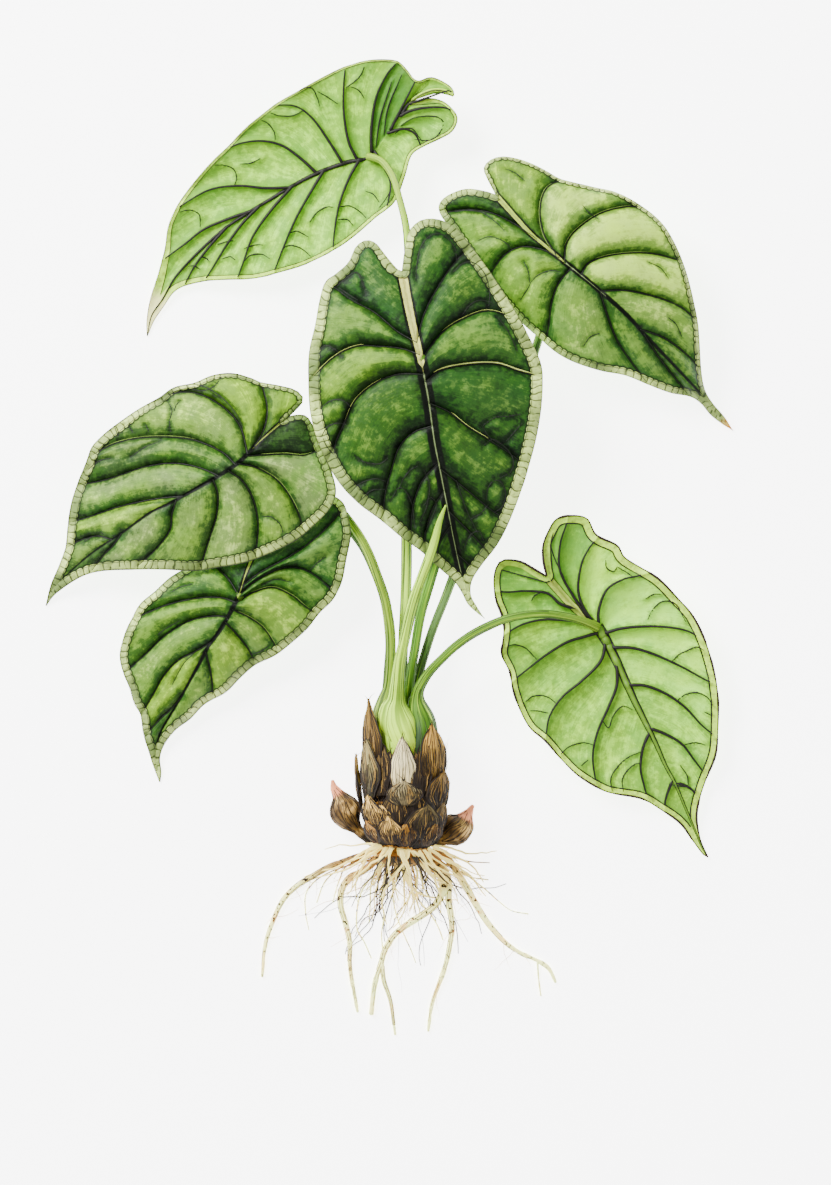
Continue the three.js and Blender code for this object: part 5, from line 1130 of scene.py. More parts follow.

# The leaf stalks and the new leaf: smooth, juicy and round, each one's base widened into a sheath
# round the next, the new leaf rolled up tight in front. Rows of x, y, z and the half width and
# half depth there. The looks are the colours across from left to right, the green with painted
# shade and highlight on the sides of the round stalk, then streaks, the base and the top.
stalks = {
    "petiole_left_upper": [
        (-7, 15.5, 17, 9, 12), (-8.5, 22.5, 17, 9, 12.5), (-9.5, 29, 17, 8, 11),
        (-11, 35.5, 17.5, 6.5, 9), (-11.5, 40.5, 18, 4.6, 6.5), (-11, 45, 18.5, 3, 4),
        (-9.5, 50.5, 19, 2.2, 2.6), (-8.5, 61, 20, 2.1, 2.2), (-8.5, 74, 20, 2.1, 2.2),
        (-10.5, 87, 20, 2, 2.1), (-14, 97.5, 19.5, 2, 2), (-19, 110.5, 18.5, 2, 2),
        (-25.5, 121, 17, 2, 2), (-33, 129, 16.5, 2, 2), (-46, 136.5, 18, 2, 2),
        (-59, 143, 24, 2, 2), (-68.5, 146.5, 30, 2.1, 2.1), (-75.5, 147.5, 33.5, 2.2, 2.2)],
    "petiole_left_lower": [
        (-10.5, 44, 12, 1.9, 1.9), (-9.5, 57.5, 12, 1.9, 1.9), (-9, 70.5, 12, 1.9, 1.9),
        (-11, 87, 12, 1.9, 1.9), (-15, 99.5, 11, 1.8, 1.8), (-21, 112, 10, 1.8, 1.8),
        (-28.5, 120, 10, 1.8, 1.8), (-38.5, 122, 11, 1.8, 1.8), (-50.5, 116, 13, 1.8, 1.8),
        (-63, 104.5, 16.5, 1.8, 1.8), (-70, 96, 21, 1.9, 1.9), (-75, 89, 24.5, 2, 2)],
    "petiole_top_left": [
        (-5, 33, 13, 2.2, 2.2), (-3.5, 43, 11, 2.2, 2.2), (-3.5, 53, 11, 2.2, 2.2),
        (-3, 70.5, 11, 2.2, 2.2), (-2, 88, 11, 2.3, 2.3), (-1.5, 105.5, 11.5, 2.3, 2.3),
        (-1.5, 132, 13, 2.1, 2.1), (-1, 162.5, 15, 2, 2), (-0.5, 197, 18.5, 1.9, 1.9),
        (-0.5, 227.5, 23, 1.7, 1.7), (-1.5, 248.5, 26.5, 1.5, 1.5), (-4.5, 262, 27.5, 1.4, 1.4),
        (-7.5, 272, 26, 1.5, 1.5), (-11.5, 278.5, 21.5, 1.6, 1.6), (-15, 281, 16.5, 1.7, 1.7),
        (-18, 282, 12, 1.9, 1.6)],
    "petiole_center": [
        (-1, 42, 16.5, 2.2, 2.2), (0, 53, 16.5, 2, 2), (2, 66, 16, 2, 2),
        (4.5, 81, 15.5, 2.1, 2.2), (8, 94, 15.5, 2.3, 2.3), (12, 107.5, 16, 2.2, 2.2),
        (15.5, 123, 18.5, 2.1, 2.1), (17, 144.5, 24, 2, 2), (15.5, 164, 32, 2, 2),
        (11.5, 179, 41, 2, 2), (7.5, 188.5, 48, 2.1, 2.1), (4.5, 193, 52, 2.2, 2.2)],
    "petiole_top_right": [
        (2, 33, 13, 1.9, 1.9), (2, 42, 10, 1.9, 1.9), (2.5, 49.5, 10.5, 1.9, 1.9),
        (5, 59.5, 11, 1.9, 1.9), (9.5, 74, 11, 1.9, 1.9), (15, 88, 11, 1.9, 1.9),
        (19, 98.5, 11, 1.9, 1.9), (28, 122, 11.5, 1.9, 1.9), (40.5, 158, 14, 1.9, 1.9),
        (52.5, 190.5, 17.5, 1.9, 1.9), (60, 214.5, 22, 1.9, 1.9), (64.5, 227.5, 28, 1.9, 1.9),
        (66.5, 235, 35, 2, 2)],
    "petiole_right_lower": [
        (3.5, 15.5, 17, 8, 12), (4.5, 22.5, 17.5, 7.5, 11.5), (5.5, 29, 18, 6.8, 10.5),
        (5, 35, 18.5, 6.2, 8.5), (3.5, 40.5, 19.5, 5, 6), (3, 45, 20.5, 3.4, 4.2),
        (4, 49.5, 22, 2.4, 2.8), (8, 56, 24, 2, 2.2), (13.5, 62, 26, 1.9, 2),
        (20.5, 68.5, 28, 1.9, 1.9), (29.5, 74.5, 30, 1.8, 1.8), (42.5, 80, 32, 1.8, 1.8),
        (56.5, 82, 31, 1.7, 1.7), (67, 81, 26.5, 1.7, 1.7), (75, 79, 20, 1.8, 1.7),
        (82, 76, 14, 2.2, 1.5)],
    "new_leaf_spike": [
        (1, 17, 19, 4.5, 7.5), (-1.5, 22.5, 21, 7, 8.5), (-4, 29, 22, 8.3, 8),
        (-6, 35, 22.5, 8.8, 6.6), (-6.5, 40.5, 23, 6.8, 5), (-6, 45, 23.5, 4.2, 3.8),
        (-5.5, 51.5, 25.5, 3.2, 3.2), (-4.5, 61, 28, 2.6, 2.8), (-2.5, 70.5, 30, 2.3, 2.5),
        (-0.5, 80, 31.5, 2.4, 2.5), (2, 89, 33, 2.3, 2.4), (5, 97.5, 34.5, 2.1, 2.2),
        (8.5, 107, 36.5, 2.1, 2.2), (11, 115, 38.5, 1.8, 1.9), (13, 122.5, 40.5, 1.2, 1.3),
        (15.5, 129, 42, 0.4, 0.4)],
}
stalk_looks = {
    "petiole_left_upper": ("5f7f24", "a6b850", "dfe69a", "4a6a1e", "cfdc92", "a6ba58"),
    "petiole_left_lower": ("4c6a2a", "6d8a3c", "8aa455", "35501c", "5a7a30", "5a7a34"),
    "petiole_top_left": ("4a7022", "c6d48e", "5f8a30", "3a5c1c", "55762a", "7f9a48"),
    "petiole_center": ("5a8a24", "8fb444", "d3e08a", "3a6418", "6f962e", "6f8f4a"),
    "petiole_top_right": ("2f4a24", "8fa878", "c3cda8", "22381a", "5a7a3a", "5f7a48"),
    "petiole_right_lower": ("a3bf4e", "8cae3e", "4a741c", "264810", "527d20", "aec062"),
    "new_leaf_spike": ("c8d44e", "dbe68a", "94b42c", "7a9e2c", "edf2b8", "a9c044"),
}


def round_spot(row, ahead, turn):
    """The place on a round part at that row and turn, and the way out from its middle."""
    across = np.array([ahead[1], -ahead[0], 0.0])
    across /= max(np.linalg.norm(across), 1e-6)
    sideways, upward = across * math.cos(turn), np.cross(across, ahead) * math.sin(turn)
    return row[:3] + sideways * row[3] + upward * row[4], sideways + upward


def wrapped_grid(bm, sides, places):
    """A grid to bend round, one row for each place in millimetres, with its wrap map."""
    wrap = bm.loops.layers.uv.new("wrap")
    steps = len(places) - 1
    bmesh.ops.create_grid(bm, x_segments=sides, y_segments=steps, size=0.5, calc_uvs=True)
    for face in bm.faces:
        for loop in face.loops:
            at = loop.vert.co
            loop[wrap].uv = (places[round((at.y + 0.5) * steps)] * MM, at.x + 0.5)


def tube(name, line, sides, material, relief=None):
    """A closed round part along rows of x, y, z, half width and half depth, seam underneath."""
    forward = headings(line[:, :3])
    whole = [(k, 1.0) for k in range(len(line))]
    rows = []
    for i, size in ((0, 0.0), (0, 0.6), *whole, (-1, 0.6), (-1, 0.0)):
        row = line[i].copy()
        if size < 1:  # a rounded end
            out = min(row[3], row[4]) * (0.55 if size == 0 else 0.4)
            row[:3] += forward[i] * (-out if i == 0 else out)
            row[3:] *= size
        rows.append((row, forward[i]))
    steps = [math.dist(a[:3], b[:3]) for (a, _), (b, _) in zip(rows, rows[1:])]
    run = np.concatenate([[0], np.cumsum(steps)])
    bm = bmesh.new()
    wrapped_grid(bm, sides, run)
    for vert in bm.verts:
        i = round((vert.co.y + 0.5) * (len(rows) - 1))
        share = vert.co.x + 0.5
        row, ahead = rows[i]
        point, outward = round_spot(row, ahead, 2 * math.pi * share - math.pi / 2)
        if relief and row[3] > 0:
            point += relief(run[i], share) * outward
        vert.co = Vector((point[0], point[1], max(point[2], 0))) * MM
    return piece_of(bm, name, material, 0.005)


def streaks(n, along_mm, around_mm, girth, lift=0.0):
    """Long thin marks that run along a wrapped part: its wrap map, squeezed round the part."""
    scale = (1 / along_mm, girth / around_mm * MM, 1.0)
    place = n.add("ShaderNodeVectorMath", {0: n.wrap(), 1: scale}, operation="MULTIPLY").outputs[0]
    lifted = {0: place, 1: (lift, lift, lift)}
    moved = n.add("ShaderNodeVectorMath", lifted, operation="ADD").outputs[0]
    return n.cloud(1.0, 3, moved, 0.6, 0.3)


def stalk_material(name, length, girth, look):
    material, shader, n = new_material(name, 0.5, 0.14)
    left, middle, right, streak, base, top = look
    parts = n.add("ShaderNodeSeparateXYZ", {0: n.wrap()})
    along, around = parts.outputs["X"], parts.outputs["Y"]
    # painted shade and highlight: the colour changes across the stalk from one side to the other
    color = n.ramp(around, [(0.24, right), (0.38, middle), (0.60, middle), (0.76, left)])
    share = n.math("DIVIDE", along, length * MM)
    sheath = 0.34 if name == "petiole_right_lower" else 0.22
    color = n.mix(n.ease(share, sheath, 0.3 * sheath), color, paint(base))
    color = n.mix(n.part(n.ease(share, 0.8, 1.0), 0.6), color, paint(top))
    wide = streaks(n, 70, 1.3, girth, len(name))
    fine = streaks(n, 30, 0.5, girth, 3.0)
    if name == "petiole_right_lower":
        wide = n.math("MULTIPLY_ADD", n.ease(share, 0.3, 0.05), 0.10, wide)
    calm = n.ease(share, 0.06, 0.3) if name == "new_leaf_spike" else 1.0
    wide_streak = n.part(n.ease(wide, 0.52, 0.61), 0.85)
    color = n.mix(n.part(wide_streak, calm), color, paint(streak))
    color = n.mix(n.part(n.ease(fine, 0.52, 0.66), 0.5), color, paint(streak))
    color = n.mix(n.part(n.ease(wide, 0.45, 0.33), 0.55), color, paint("e4eba6"))
    color = pigment(n, color, 4.0, 0.08, 0.06)
    n.finish(shader, color, fine, 0.3, 0.0003)
    return material


def flutes(run, share):
    """Nine shallow flutes round the base, fading upwards."""
    return 0.06 * math.sin(2 * math.pi * 9 * share) * math.exp(-run / 60)


for name, rows in stalks.items():
    line = smooth_line(rows, len(rows) * 8)
    girth = float(2 * math.pi * line[:, 3].mean())
    rolled = name == "new_leaf_spike"
    skin = stalk_material(name, length_of(line[:, :3]), girth, stalk_looks[name])
    piece_name = "rolled_new_leaf" if rolled else name.replace("petiole", "stalk")
    stalk = tube(piece_name, line, 28, skin, flutes)
    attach(stalk, "root")
    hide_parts(name)

    # thin ribs: how far round each is, and the shares of the stalk where it starts and ends
    marks = [(0.35, 0.04, 0.95), (0.9, 0.1, 0.7), (2.1, 0.06, 0.8), (2.75, 0.03, 0.9)]
    if name == "petiole_right_lower":
        marks += [(0.6, 0.0, 0.25), (1.3, 0.0, 0.3), (1.6, 0.02, 0.22), (2.4, 0.0, 0.26)]
    forward = headings(line[:, :3])
    runs = []
    for turn, start, end in marks:
        run = []
        for k in range(int(start * len(line)), int(end * len(line)), 2):
            bent = turn + 0.1 * math.sin(k / 7 + turn * 3)
            spot = round_spot(line[k], forward[k], bent)[0]
            run.append((*spot, 0.2 + 0.07 * math.sin(k / 5)))
        runs.append(run)
    color = line_material(f"{name} line", stalk_looks[name][3], "6f9030", 0.5)
    strands = cords(f"{name}_lines", runs, color)
    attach(strands, "root")

# The corm: the swollen underground stem, corky and dark, ringed with the ragged bases of old
# leaves that overlap like tiles, each ring standing off a little at its upper edge. It is turned
# from rows of y and radius, and a little deeper than wide.
CROWN_X, CROWN_HEIGHT, CORM_STRETCH = -2.3, 17.0, 1.055
CORM_TOP, CORM_FOOT, CORM_ROWS, RING = 13.5, -20.5, 120, 5.2
corm_profile = [
    (13.5, 10), (12.5, 13.5), (9.5, 15.4), (5.5, 16.6), (1.5, 17), (-0.5, 17.5), (-1.2, 16.7),
    (-5.5, 17.1), (-7.5, 17.2), (-8.3, 16.3), (-12.5, 15.8), (-14.5, 15.3), (-15.3, 14.4),
    (-17, 13.3), (-19, 11.6), (-20.5, 8),
]


def around_crown(angle, radius, y):
    """The place at that angle round the crown, 0 at the right and 90 towards the viewer."""
    turn = math.radians(angle)
    deep = CROWN_HEIGHT + radius * CORM_STRETCH * math.sin(turn)
    return CROWN_X + radius * math.cos(turn), y, deep


def bark_material():
    material, shader, n = new_material("corm bark", 0.85, 0.15)
    grain = streaks(n, 9, 0.6, 100.0)
    # painted shade: each ring is darkest where it sinks at the foot of the raised edge beside it,
    # and palest at its own raised edge
    height = n.math("MULTIPLY_ADD", n.cloud(5, 3), 0.5, n.part(n.value("ledge"), 0.75))
    color = n.ramp(
        height,
        [(0.3, "130c07"), (0.6, "33220f"), (0.8, "664822"), (0.92, "a98850"), (1.0, "cdb27c")],
    )
    color = n.mix(n.part(n.ease(grain, 0.5, 0.38), 0.85), color, paint("170e08"))
    color = n.mix(n.part(n.ease(grain, 0.6, 0.72), 0.4), color, paint("a9824c"))
    n.finish(shader, color, grain, 0.8, 0.0008)
    return material


ys = np.linspace(CORM_TOP, CORM_FOOT, CORM_ROWS)
rows = [(0.0, CORM_TOP + 0.3), *zip(np.interp(ys, *zip(*sorted(corm_profile))), ys)]
rows.append((0.0, CORM_FOOT - 0.3))
bm = bmesh.new()
ledge = bm.verts.layers.float.new("ledge")
wrapped_grid(bm, 180, [y for _, y in rows])
for vert in bm.verts:
    radius, y = rows[round((vert.co.y + 0.5) * (len(rows) - 1))]
    turn = 2 * math.pi * (vert.co.x + 0.5) - math.pi / 2
    spot = Vector((math.cos(turn), math.sin(turn), 0))
    rough = 0.5 * noise.noise(spot * 4 + Vector((0, 0, y / 5)))
    fibre = 0.5 * noise.noise(spot * 34 + Vector((0, 0, y / 9)))
    ragged = 1.6 * noise.noise(spot * 2.2) + 0.9 * noise.noise(spot * 12 + Vector((0, 0, 3)))
    tile = ((y + ragged + 30) / RING) % 1
    lift = 1.3 * tile**1.5 - 0.5
    if radius:
        radius = radius * (1 + 0.018 * math.sin(5 * turn + 0.6 * y)) + (rough + fibre + lift)
        y += 0.9 * math.sin(2 * turn + 0.15 * y)
    x, y, z = around_crown(math.degrees(turn), radius, y)
    vert.co = Vector((x, y, max(z, 0))) * MM
    vert[ledge] = tile
corm = piece_of(bm, "corm_bark", bark_material(), 0.005)
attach(corm, "root")
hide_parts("corm")

# The papery scales: dead leaf bases, dry and fibrous, torn at their tips. Each grows from the
# corm, bends round the crown and overlaps its neighbours; the ones named remnant are thin scraps
# of older ones that are left between the others.
SCALE_THICK, SCRAP_THICK = 0.9, 0.6
BROWN, DARK = ("24160a", "75603c", "b8a272"), ("100b07", "4a3a26", "93805a")
OLIVE, STRAW = ("0c0906", "3a3020", "857752"), ("150c06", "6e5632", "e2d6b2")

# For each scale: its angle round the crown, 0 at the right and 90 towards the viewer; its base and
# tip along Y; its half width; how far it is from the middle at its base, half way and at its tip;
# and its colours, from the gaps between the fibres, the same dark as the painted shade at its
# base, to their worn ridges.
scales = {
    "scale_left_brown": (151, 11, 43.5, 9, (16, 17.9, 17.6), ("160e06", "644e28", "a48c56")),
    "scale_left_streaked": (150, 1, 26.5, 10, (18.3, 19, 19.2), ("0c0906", "4c4329", "b6ad88")),
    "scale_left_edge": (184, -5, 19, 5.5, (18.3, 20.5, 21), BROWN),
    "scale_front_pale": (93, 3.5, 28, 6.4, (18, 17.8, 15), ("95896c", "e4e0d0", "efede4")),
    "scale_front_under": (90, -1, 9.5, 9.2, (19, 18.9, 18.4), ("1c150d", "857a5e", "b3aa8e")),
    "scale_right_brown": (43, 8.5, 33.5, 9.8, (16.8, 18.6, 15.8), ("241708", "8c7442", "cfbb8a")),
    "scale_right_dark": (34, -3, 13.5, 10, (18.2, 19.3, 19.8), ("0e0a06", "4a3a22", "9c8250")),
    "scale_low_left": (143, -12, 2.5, 9, (17, 18.7, 19.8), STRAW),
    "scale_low_front": (62, -16, -1, 10, (15.6, 18.9, 19.6), OLIVE),
    "scale_back_left": (222, 9, 29, 8, (16.7, 16.2, 15.2), BROWN),
    "scale_back": (272, 12, 31, 7, (15, 14.8, 14.4), BROWN),
    "scale_back_right": (325, 8.5, 28.5, 8, (16.8, 17, 15.2), BROWN),
    "remnant_left": (127, 3, 26, 6, (18.0, 17.5, 16.4), DARK),
    "remnant_left_inner": (115, 6, 22, 4, (17.6, 17.0, 15.6), ("1a130b", "6a5a38", "b3a478")),
    "remnant_right": (68, 2, 22, 6, (18.4, 17.8, 15.8), DARK),
    "remnant_front": (100, -9, 5, 8, (17.8, 18.4, 18.6), DARK),
    "remnant_left_fold": (124, -10, -1, 7, (17.4, 18.6, 18.8), STRAW),
    "remnant_right_fold": (74, -5, 5, 6, (17.8, 18.6, 18.8), OLIVE),
    "remnant_low": (112, -18, -6, 7, (15.0, 18.0, 18.8), STRAW),
    "remnant_low_left": (150, -18, -8, 7, (14.0, 17.6, 18.8), ("1c110a", "7a5830", "cdb07a")),
    "remnant_low_front": (88, -19, -9, 6, (13.6, 17.4, 18.4), ("140c06", "5c4224", "b89860")),
    "remnant_low_right": (28, -14, 0, 8, (16.4, 18.4, 19.0), DARK),
    "remnant_right_foot": (44, -19, -8, 7, (13.8, 17.4, 18.6), ("140d07", "5c4426", "a98a56")),
    "remnant_back": (250, -4, 14, 9, (17.2, 17.2, 16.6), DARK),
    "remnant_back_right": (300, -2, 15, 9, (17.2, 17.2, 16.4), BROWN),
}


def scale_material(name, dark, middle, pale):
    material, shader, n = new_material(name, 0.75, 0.2)
    wrap = n.wrap()
    parts = n.add("ShaderNodeSeparateXYZ", {0: wrap}).outputs
    rise, across = parts["X"], parts["Y"]

    def along_fibres(stretch, across_count, detail):
        inputs = {0: wrap, 1: (stretch, across_count, 1.0), 2: (len(name), 0.0, 0.0)}
        place = n.add("ShaderNodeVectorMath", inputs, operation="MULTIPLY_ADD").outputs[0]
        inputs = {"Vector": place, "Scale": 1.0, "Detail": detail, "Roughness": 0.7}
        return n.add("ShaderNodeTexNoise", inputs).outputs["Fac"]

    grain, broad = along_fibres(1.6, 24.0, 4.0), along_fibres(2.2, 5.0, 3.0)
    side = n.math("ABSOLUTE", n.math("SUBTRACT", across, 0.5))
    # painted shade: darker towards the base, where the tip of the scale below lies over it, and
    # towards both edges
    value = n.math("MULTIPLY_ADD", n.ease(rise, 0.15, 0.8), 0.5, n.part(broad, 1.2))
    value = n.math("MULTIPLY_ADD", side, -0.35, value)
    color = n.ramp(value, [(0.34, dark), (0.66, middle), (0.98, pale)])
    color = n.mix(n.part(n.ease(grain, 0.47, 0.38), 0.85), color, paint(dark))
    color = n.mix(n.part(n.ease(grain, 0.55, 0.66), 0.6), color, paint(pale))
    color = pigment(n, color, 3.0, 0.08, 0.12)
    n.finish(shader, color, grain, 0.9, 0.0007)
    return material


fibre_dark = line_material("dark fibre", "160e08", "3d2a16", 0.8)
fibre_pale = line_material("pale fibre", "b3986a", "6a4a2a", 0.8)


def scale_spot(shape, u, v, side):
    """A place on a scale: u across from -1 to 1, v up from its base, side out from its middle."""
    angle, base, tip, half, (foot, middle, end) = shape
    seed = Vector((angle, base, 0.5))
    radius = foot * (1 - v) ** 2 + (4 * middle - foot - end) * v * (1 - v) + end * v**2
    width = half * (0.78 + 0.22 * math.sin(math.pi * v)) * (1 - min(v, 1) ** 2.6) ** 0.8 + 0.35
    width *= 1 - 0.55 * (1 - v) ** 4
    torn = noise.noise(seed + Vector((u * 4.5, v * 2, 0)))
    length = (tip - base) * v * (1 + 0.10 * torn * v**3)
    keel = 0.5 * v * (1 - abs(u) - u * u)
    rib = 0.12 * math.sin(u * 17 + 3 * torn)
    rib += 0.6 * noise.noise(seed + Vector((u * 1.6, v * 3, 4)))
    fray = 1 + 0.10 * noise.noise(seed + Vector((v * 9, 0 if u < 0 else 9, 2)))
    turn = math.radians(angle) + u * width * fray / radius
    radius += keel + rib * (1 - v**8) + side
    x, y, z = around_crown(math.degrees(turn), radius, base + length)
    return x, y, max(z, 0.5 - side)


random.seed(5)
pick, ridges = random.Random(8), []
for name, (*shape, colors) in scales.items():
    thick = SCALE_THICK if name.startswith("scale") else SCRAP_THICK
    bm = bmesh.new()
    wrap = bm.loops.layers.uv.new("wrap")
    bmesh.ops.create_grid(bm, x_segments=28, y_segments=32, size=0.5, calc_uvs=True)
    for face in bm.faces:
        for loop in face.loops:
            loop[wrap].uv = (loop.vert.co.y + 0.5, loop.vert.co.x + 0.5)
    made = bmesh.ops.extrude_face_region(bm, geom=bm.faces[:], use_keep_orig=True)
    under = {item for item in made["geom"] if isinstance(item, bmesh.types.BMVert)}
    for vert in bm.verts:
        u, v = 2 * vert.co.x, vert.co.y + 0.5
        side = -thick / 2 + 0.35 * thick * v if vert in under else thick / 2
        vert.co = Vector(scale_spot(shape, u, v, side)) * MM
    bmesh.ops.recalc_face_normals(bm, faces=bm.faces[:])
    piece = piece_of(bm, f"papery_{name}", scale_material(name, *colors))
    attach(piece, "root")
    if name.startswith("scale"):
        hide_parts(name)

    # dark fibres along the scale, thick ones on its two edges that also stand for painted shadow
    # in the gaps between scales, and three frayed ends at its tip
    smooth = name == "scale_front_pale"
    runs = []
    for u in np.linspace(-1, 1, 9 if smooth else 17):
        inner = abs(u) < 0.99
        start, end = (random.uniform(0, 0.3), random.uniform(0.6, 1.0)) if inner else (0, 1)
        radius = (0.13 if smooth else 0.2) if inner else 0.4
        run = []
        for v in np.linspace(start, end, 14):
            spot = scale_spot(shape, u + 0.05 * math.sin(v * 9 + u * 7), v, thick / 2 + 0.02)
            run.append((*spot, radius * (1.1 - 0.6 * abs(2 * v - 1))))
        runs.append(run)
    for u in (-0.3, 0.1, 0.5):
        run = [(*scale_spot(shape, u, 0.97, 0), 0.3)]
        lean = random.uniform(-0.5, 0.5)
        for k in range(5):
            x, y, z, radius = run[-1]
            run.append((x + lean * k / 2, y + random.uniform(0.4, 0.9), z + 0.1, radius * 0.75))
        runs.append(run)
    strands = cords(f"{name}_fibres", runs, fibre_dark)
    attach(strands, "root")

    # pale worn fibres between them
    for _ in range(0 if smooth else 7):
        u, start, end = pick.uniform(-0.85, 0.85), pick.uniform(0.05, 0.4), pick.uniform(0.6, 0.97)
        spots = [
            scale_spot(shape, u + 0.06 * math.sin(v * 8 + u * 9), v, thick / 2 + 0.03)
            for v in np.linspace(start, end, 12)
        ]
        ridges.append([(*spot, 0.17 - 0.012 * abs(k - 5.5)) for k, spot in enumerate(spots)])
strands = cords("scale_ridges", ridges, line_material("worn fibre", "c9b689", "8f7748", 0.8))
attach(strands, "root")

# Loose fibres: what is left of rotted leaf bases, hair-thin, standing off all round the crown,
# most of them on the side towards the viewer.
LOOSE_FIBRES = 230
runs = {"dark": [], "pale": []}
for _ in range(LOOSE_FIBRES):
    angle = random.uniform(-40, 220) if random.random() < 0.8 else random.uniform(0, 360)
    y = random.uniform(-17, 22)
    lean = random.gauss(0, 0.5)
    outward = random.uniform(0.05, 0.5)
    length = random.uniform(3, 9)
    curl = random.gauss(0, 0.10)
    radius = float(np.interp(y, [-20, -15, 12, 22], [11, 16.6, 17.4, 16.6])) + 0.4
    width = random.uniform(0.07, 0.14)
    run = []
    for k in range(6):
        share = k / 5
        turn = angle + math.degrees((lean + curl * k) * length * share / radius * 0.6)
        off = radius + outward * length * share**1.5
        x, up, z = around_crown(turn, off, y + length * share)
        run.append((x, up, max(z, 0.3), width * (1 - 0.7 * share)))
    runs["dark" if random.random() < 0.65 else "pale"].append(run)
for shade, material in (("dark", fibre_dark), ("pale", fibre_pale)):
    strands = cords(f"loose_fibres_{shade}", runs[shade], material)
    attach(strands, "root")

# The cormels: two young corms on short runners, brown-skinned, each with a pinkish shoot. Rows as
# for the stalks, from the runner to the shoot's tip.
cormels = {
    "cormel_left": [
        (-16.5, -18, 9, 2.2, 2.2), (-19.5, -15.5, 10, 2.2, 2.2), (-23, -12.5, 11, 2.4, 2.4),
        (-26, -9, 11.5, 4.4, 4.6), (-28, -5, 11.5, 5.9, 6.2), (-29.5, -1, 11.5, 5.4, 5.8),
        (-31, 2.5, 11.5, 3, 3.4), (-33, 5.5, 11.5, 1.9, 2.1), (-34, 9, 11.5, 0.6, 0.7)],
    "cormel_right": [
        (6.5, -16.5, 11, 1.8, 1.8), (9.5, -16.5, 11, 1.8, 1.8), (13, -17, 11, 2.4, 2.6),
        (16, -15, 11, 4.8, 5), (19.5, -12.5, 11, 6, 6.2), (23, -9.5, 11, 5.2, 5.4),
        (25.5, -5.5, 11, 2.2, 2.4), (27.5, -2, 11, 0.8, 0.9)],
}
FULL_TURN = 6.28


def cormel_material(name, length):
    material, shader, n = new_material(name, 0.7, 0.25)
    along = n.add("ShaderNodeSeparateXYZ", {0: n.wrap()}).outputs["X"]
    grain = streaks(n, 20, 0.7, 30.0, len(name))
    broad = streaks(n, 9, 5.0, 30.0, 2.0)
    color = n.ramp(broad, [(0.3, "5e4728"), (0.5, "987e50"), (0.65, "d0c09a")])
    color = n.mix(n.part(n.ease(grain, 0.5, 0.4), 0.85), color, paint("35200f"))
    shoot = n.ease(along, (length - 7) * MM, (length - 4.5) * MM)
    color = n.mix(shoot, color, paint("d6b49c"))
    color = n.mix(n.ease(along, 0.0095, 0.006), color, paint("1f130a"))
    n.finish(shader, color, grain, 0.7, 0.0005)
    return material


def cormel_skin(run, share):
    """A little uneven all over."""
    turn = FULL_TURN * share
    return 0.25 * noise.noise(Vector((run / 3, math.cos(turn) * 2, math.sin(turn) * 2)))


for name, rows in cormels.items():
    line = smooth_line(rows, len(rows) * 8)
    length = length_of(line[:, :3])
    swell = 1.1 * np.exp(-(((np.linspace(0, length, len(line)) - 0.52 * length) / 5) ** 2))
    line[:, 3:] += swell[:, None]
    cormel = tube(f"sprouting_{name}", line, 40, cormel_material(name, length), cormel_skin)
    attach(cormel, "root")
    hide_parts(name)

    forward = headings(line[:, :3])
    runs = []
    for turn in np.linspace(0.15, math.pi - 0.15, 12):
        run = []
        for k in range(random.randrange(14, 26), len(line) - random.randrange(6, 18), 3):
            across = np.array([forward[k][1], -forward[k][0], 0.0])
            outward = np.cross(across, forward[k])
            bent = turn + 0.12 * math.sin(k / 5 + turn * 5)
            spot = line[k, :3] + across * math.cos(bent) * (line[k, 3] + 0.05)
            spot = spot + outward * math.sin(bent) * (line[k, 4] + 0.05)
            run.append((*spot, 0.15 + 0.06 * math.sin(k)))
        runs.append(run)
    strands = cords(f"{name}_veins", runs, fibre_dark)
    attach(strands, "root")

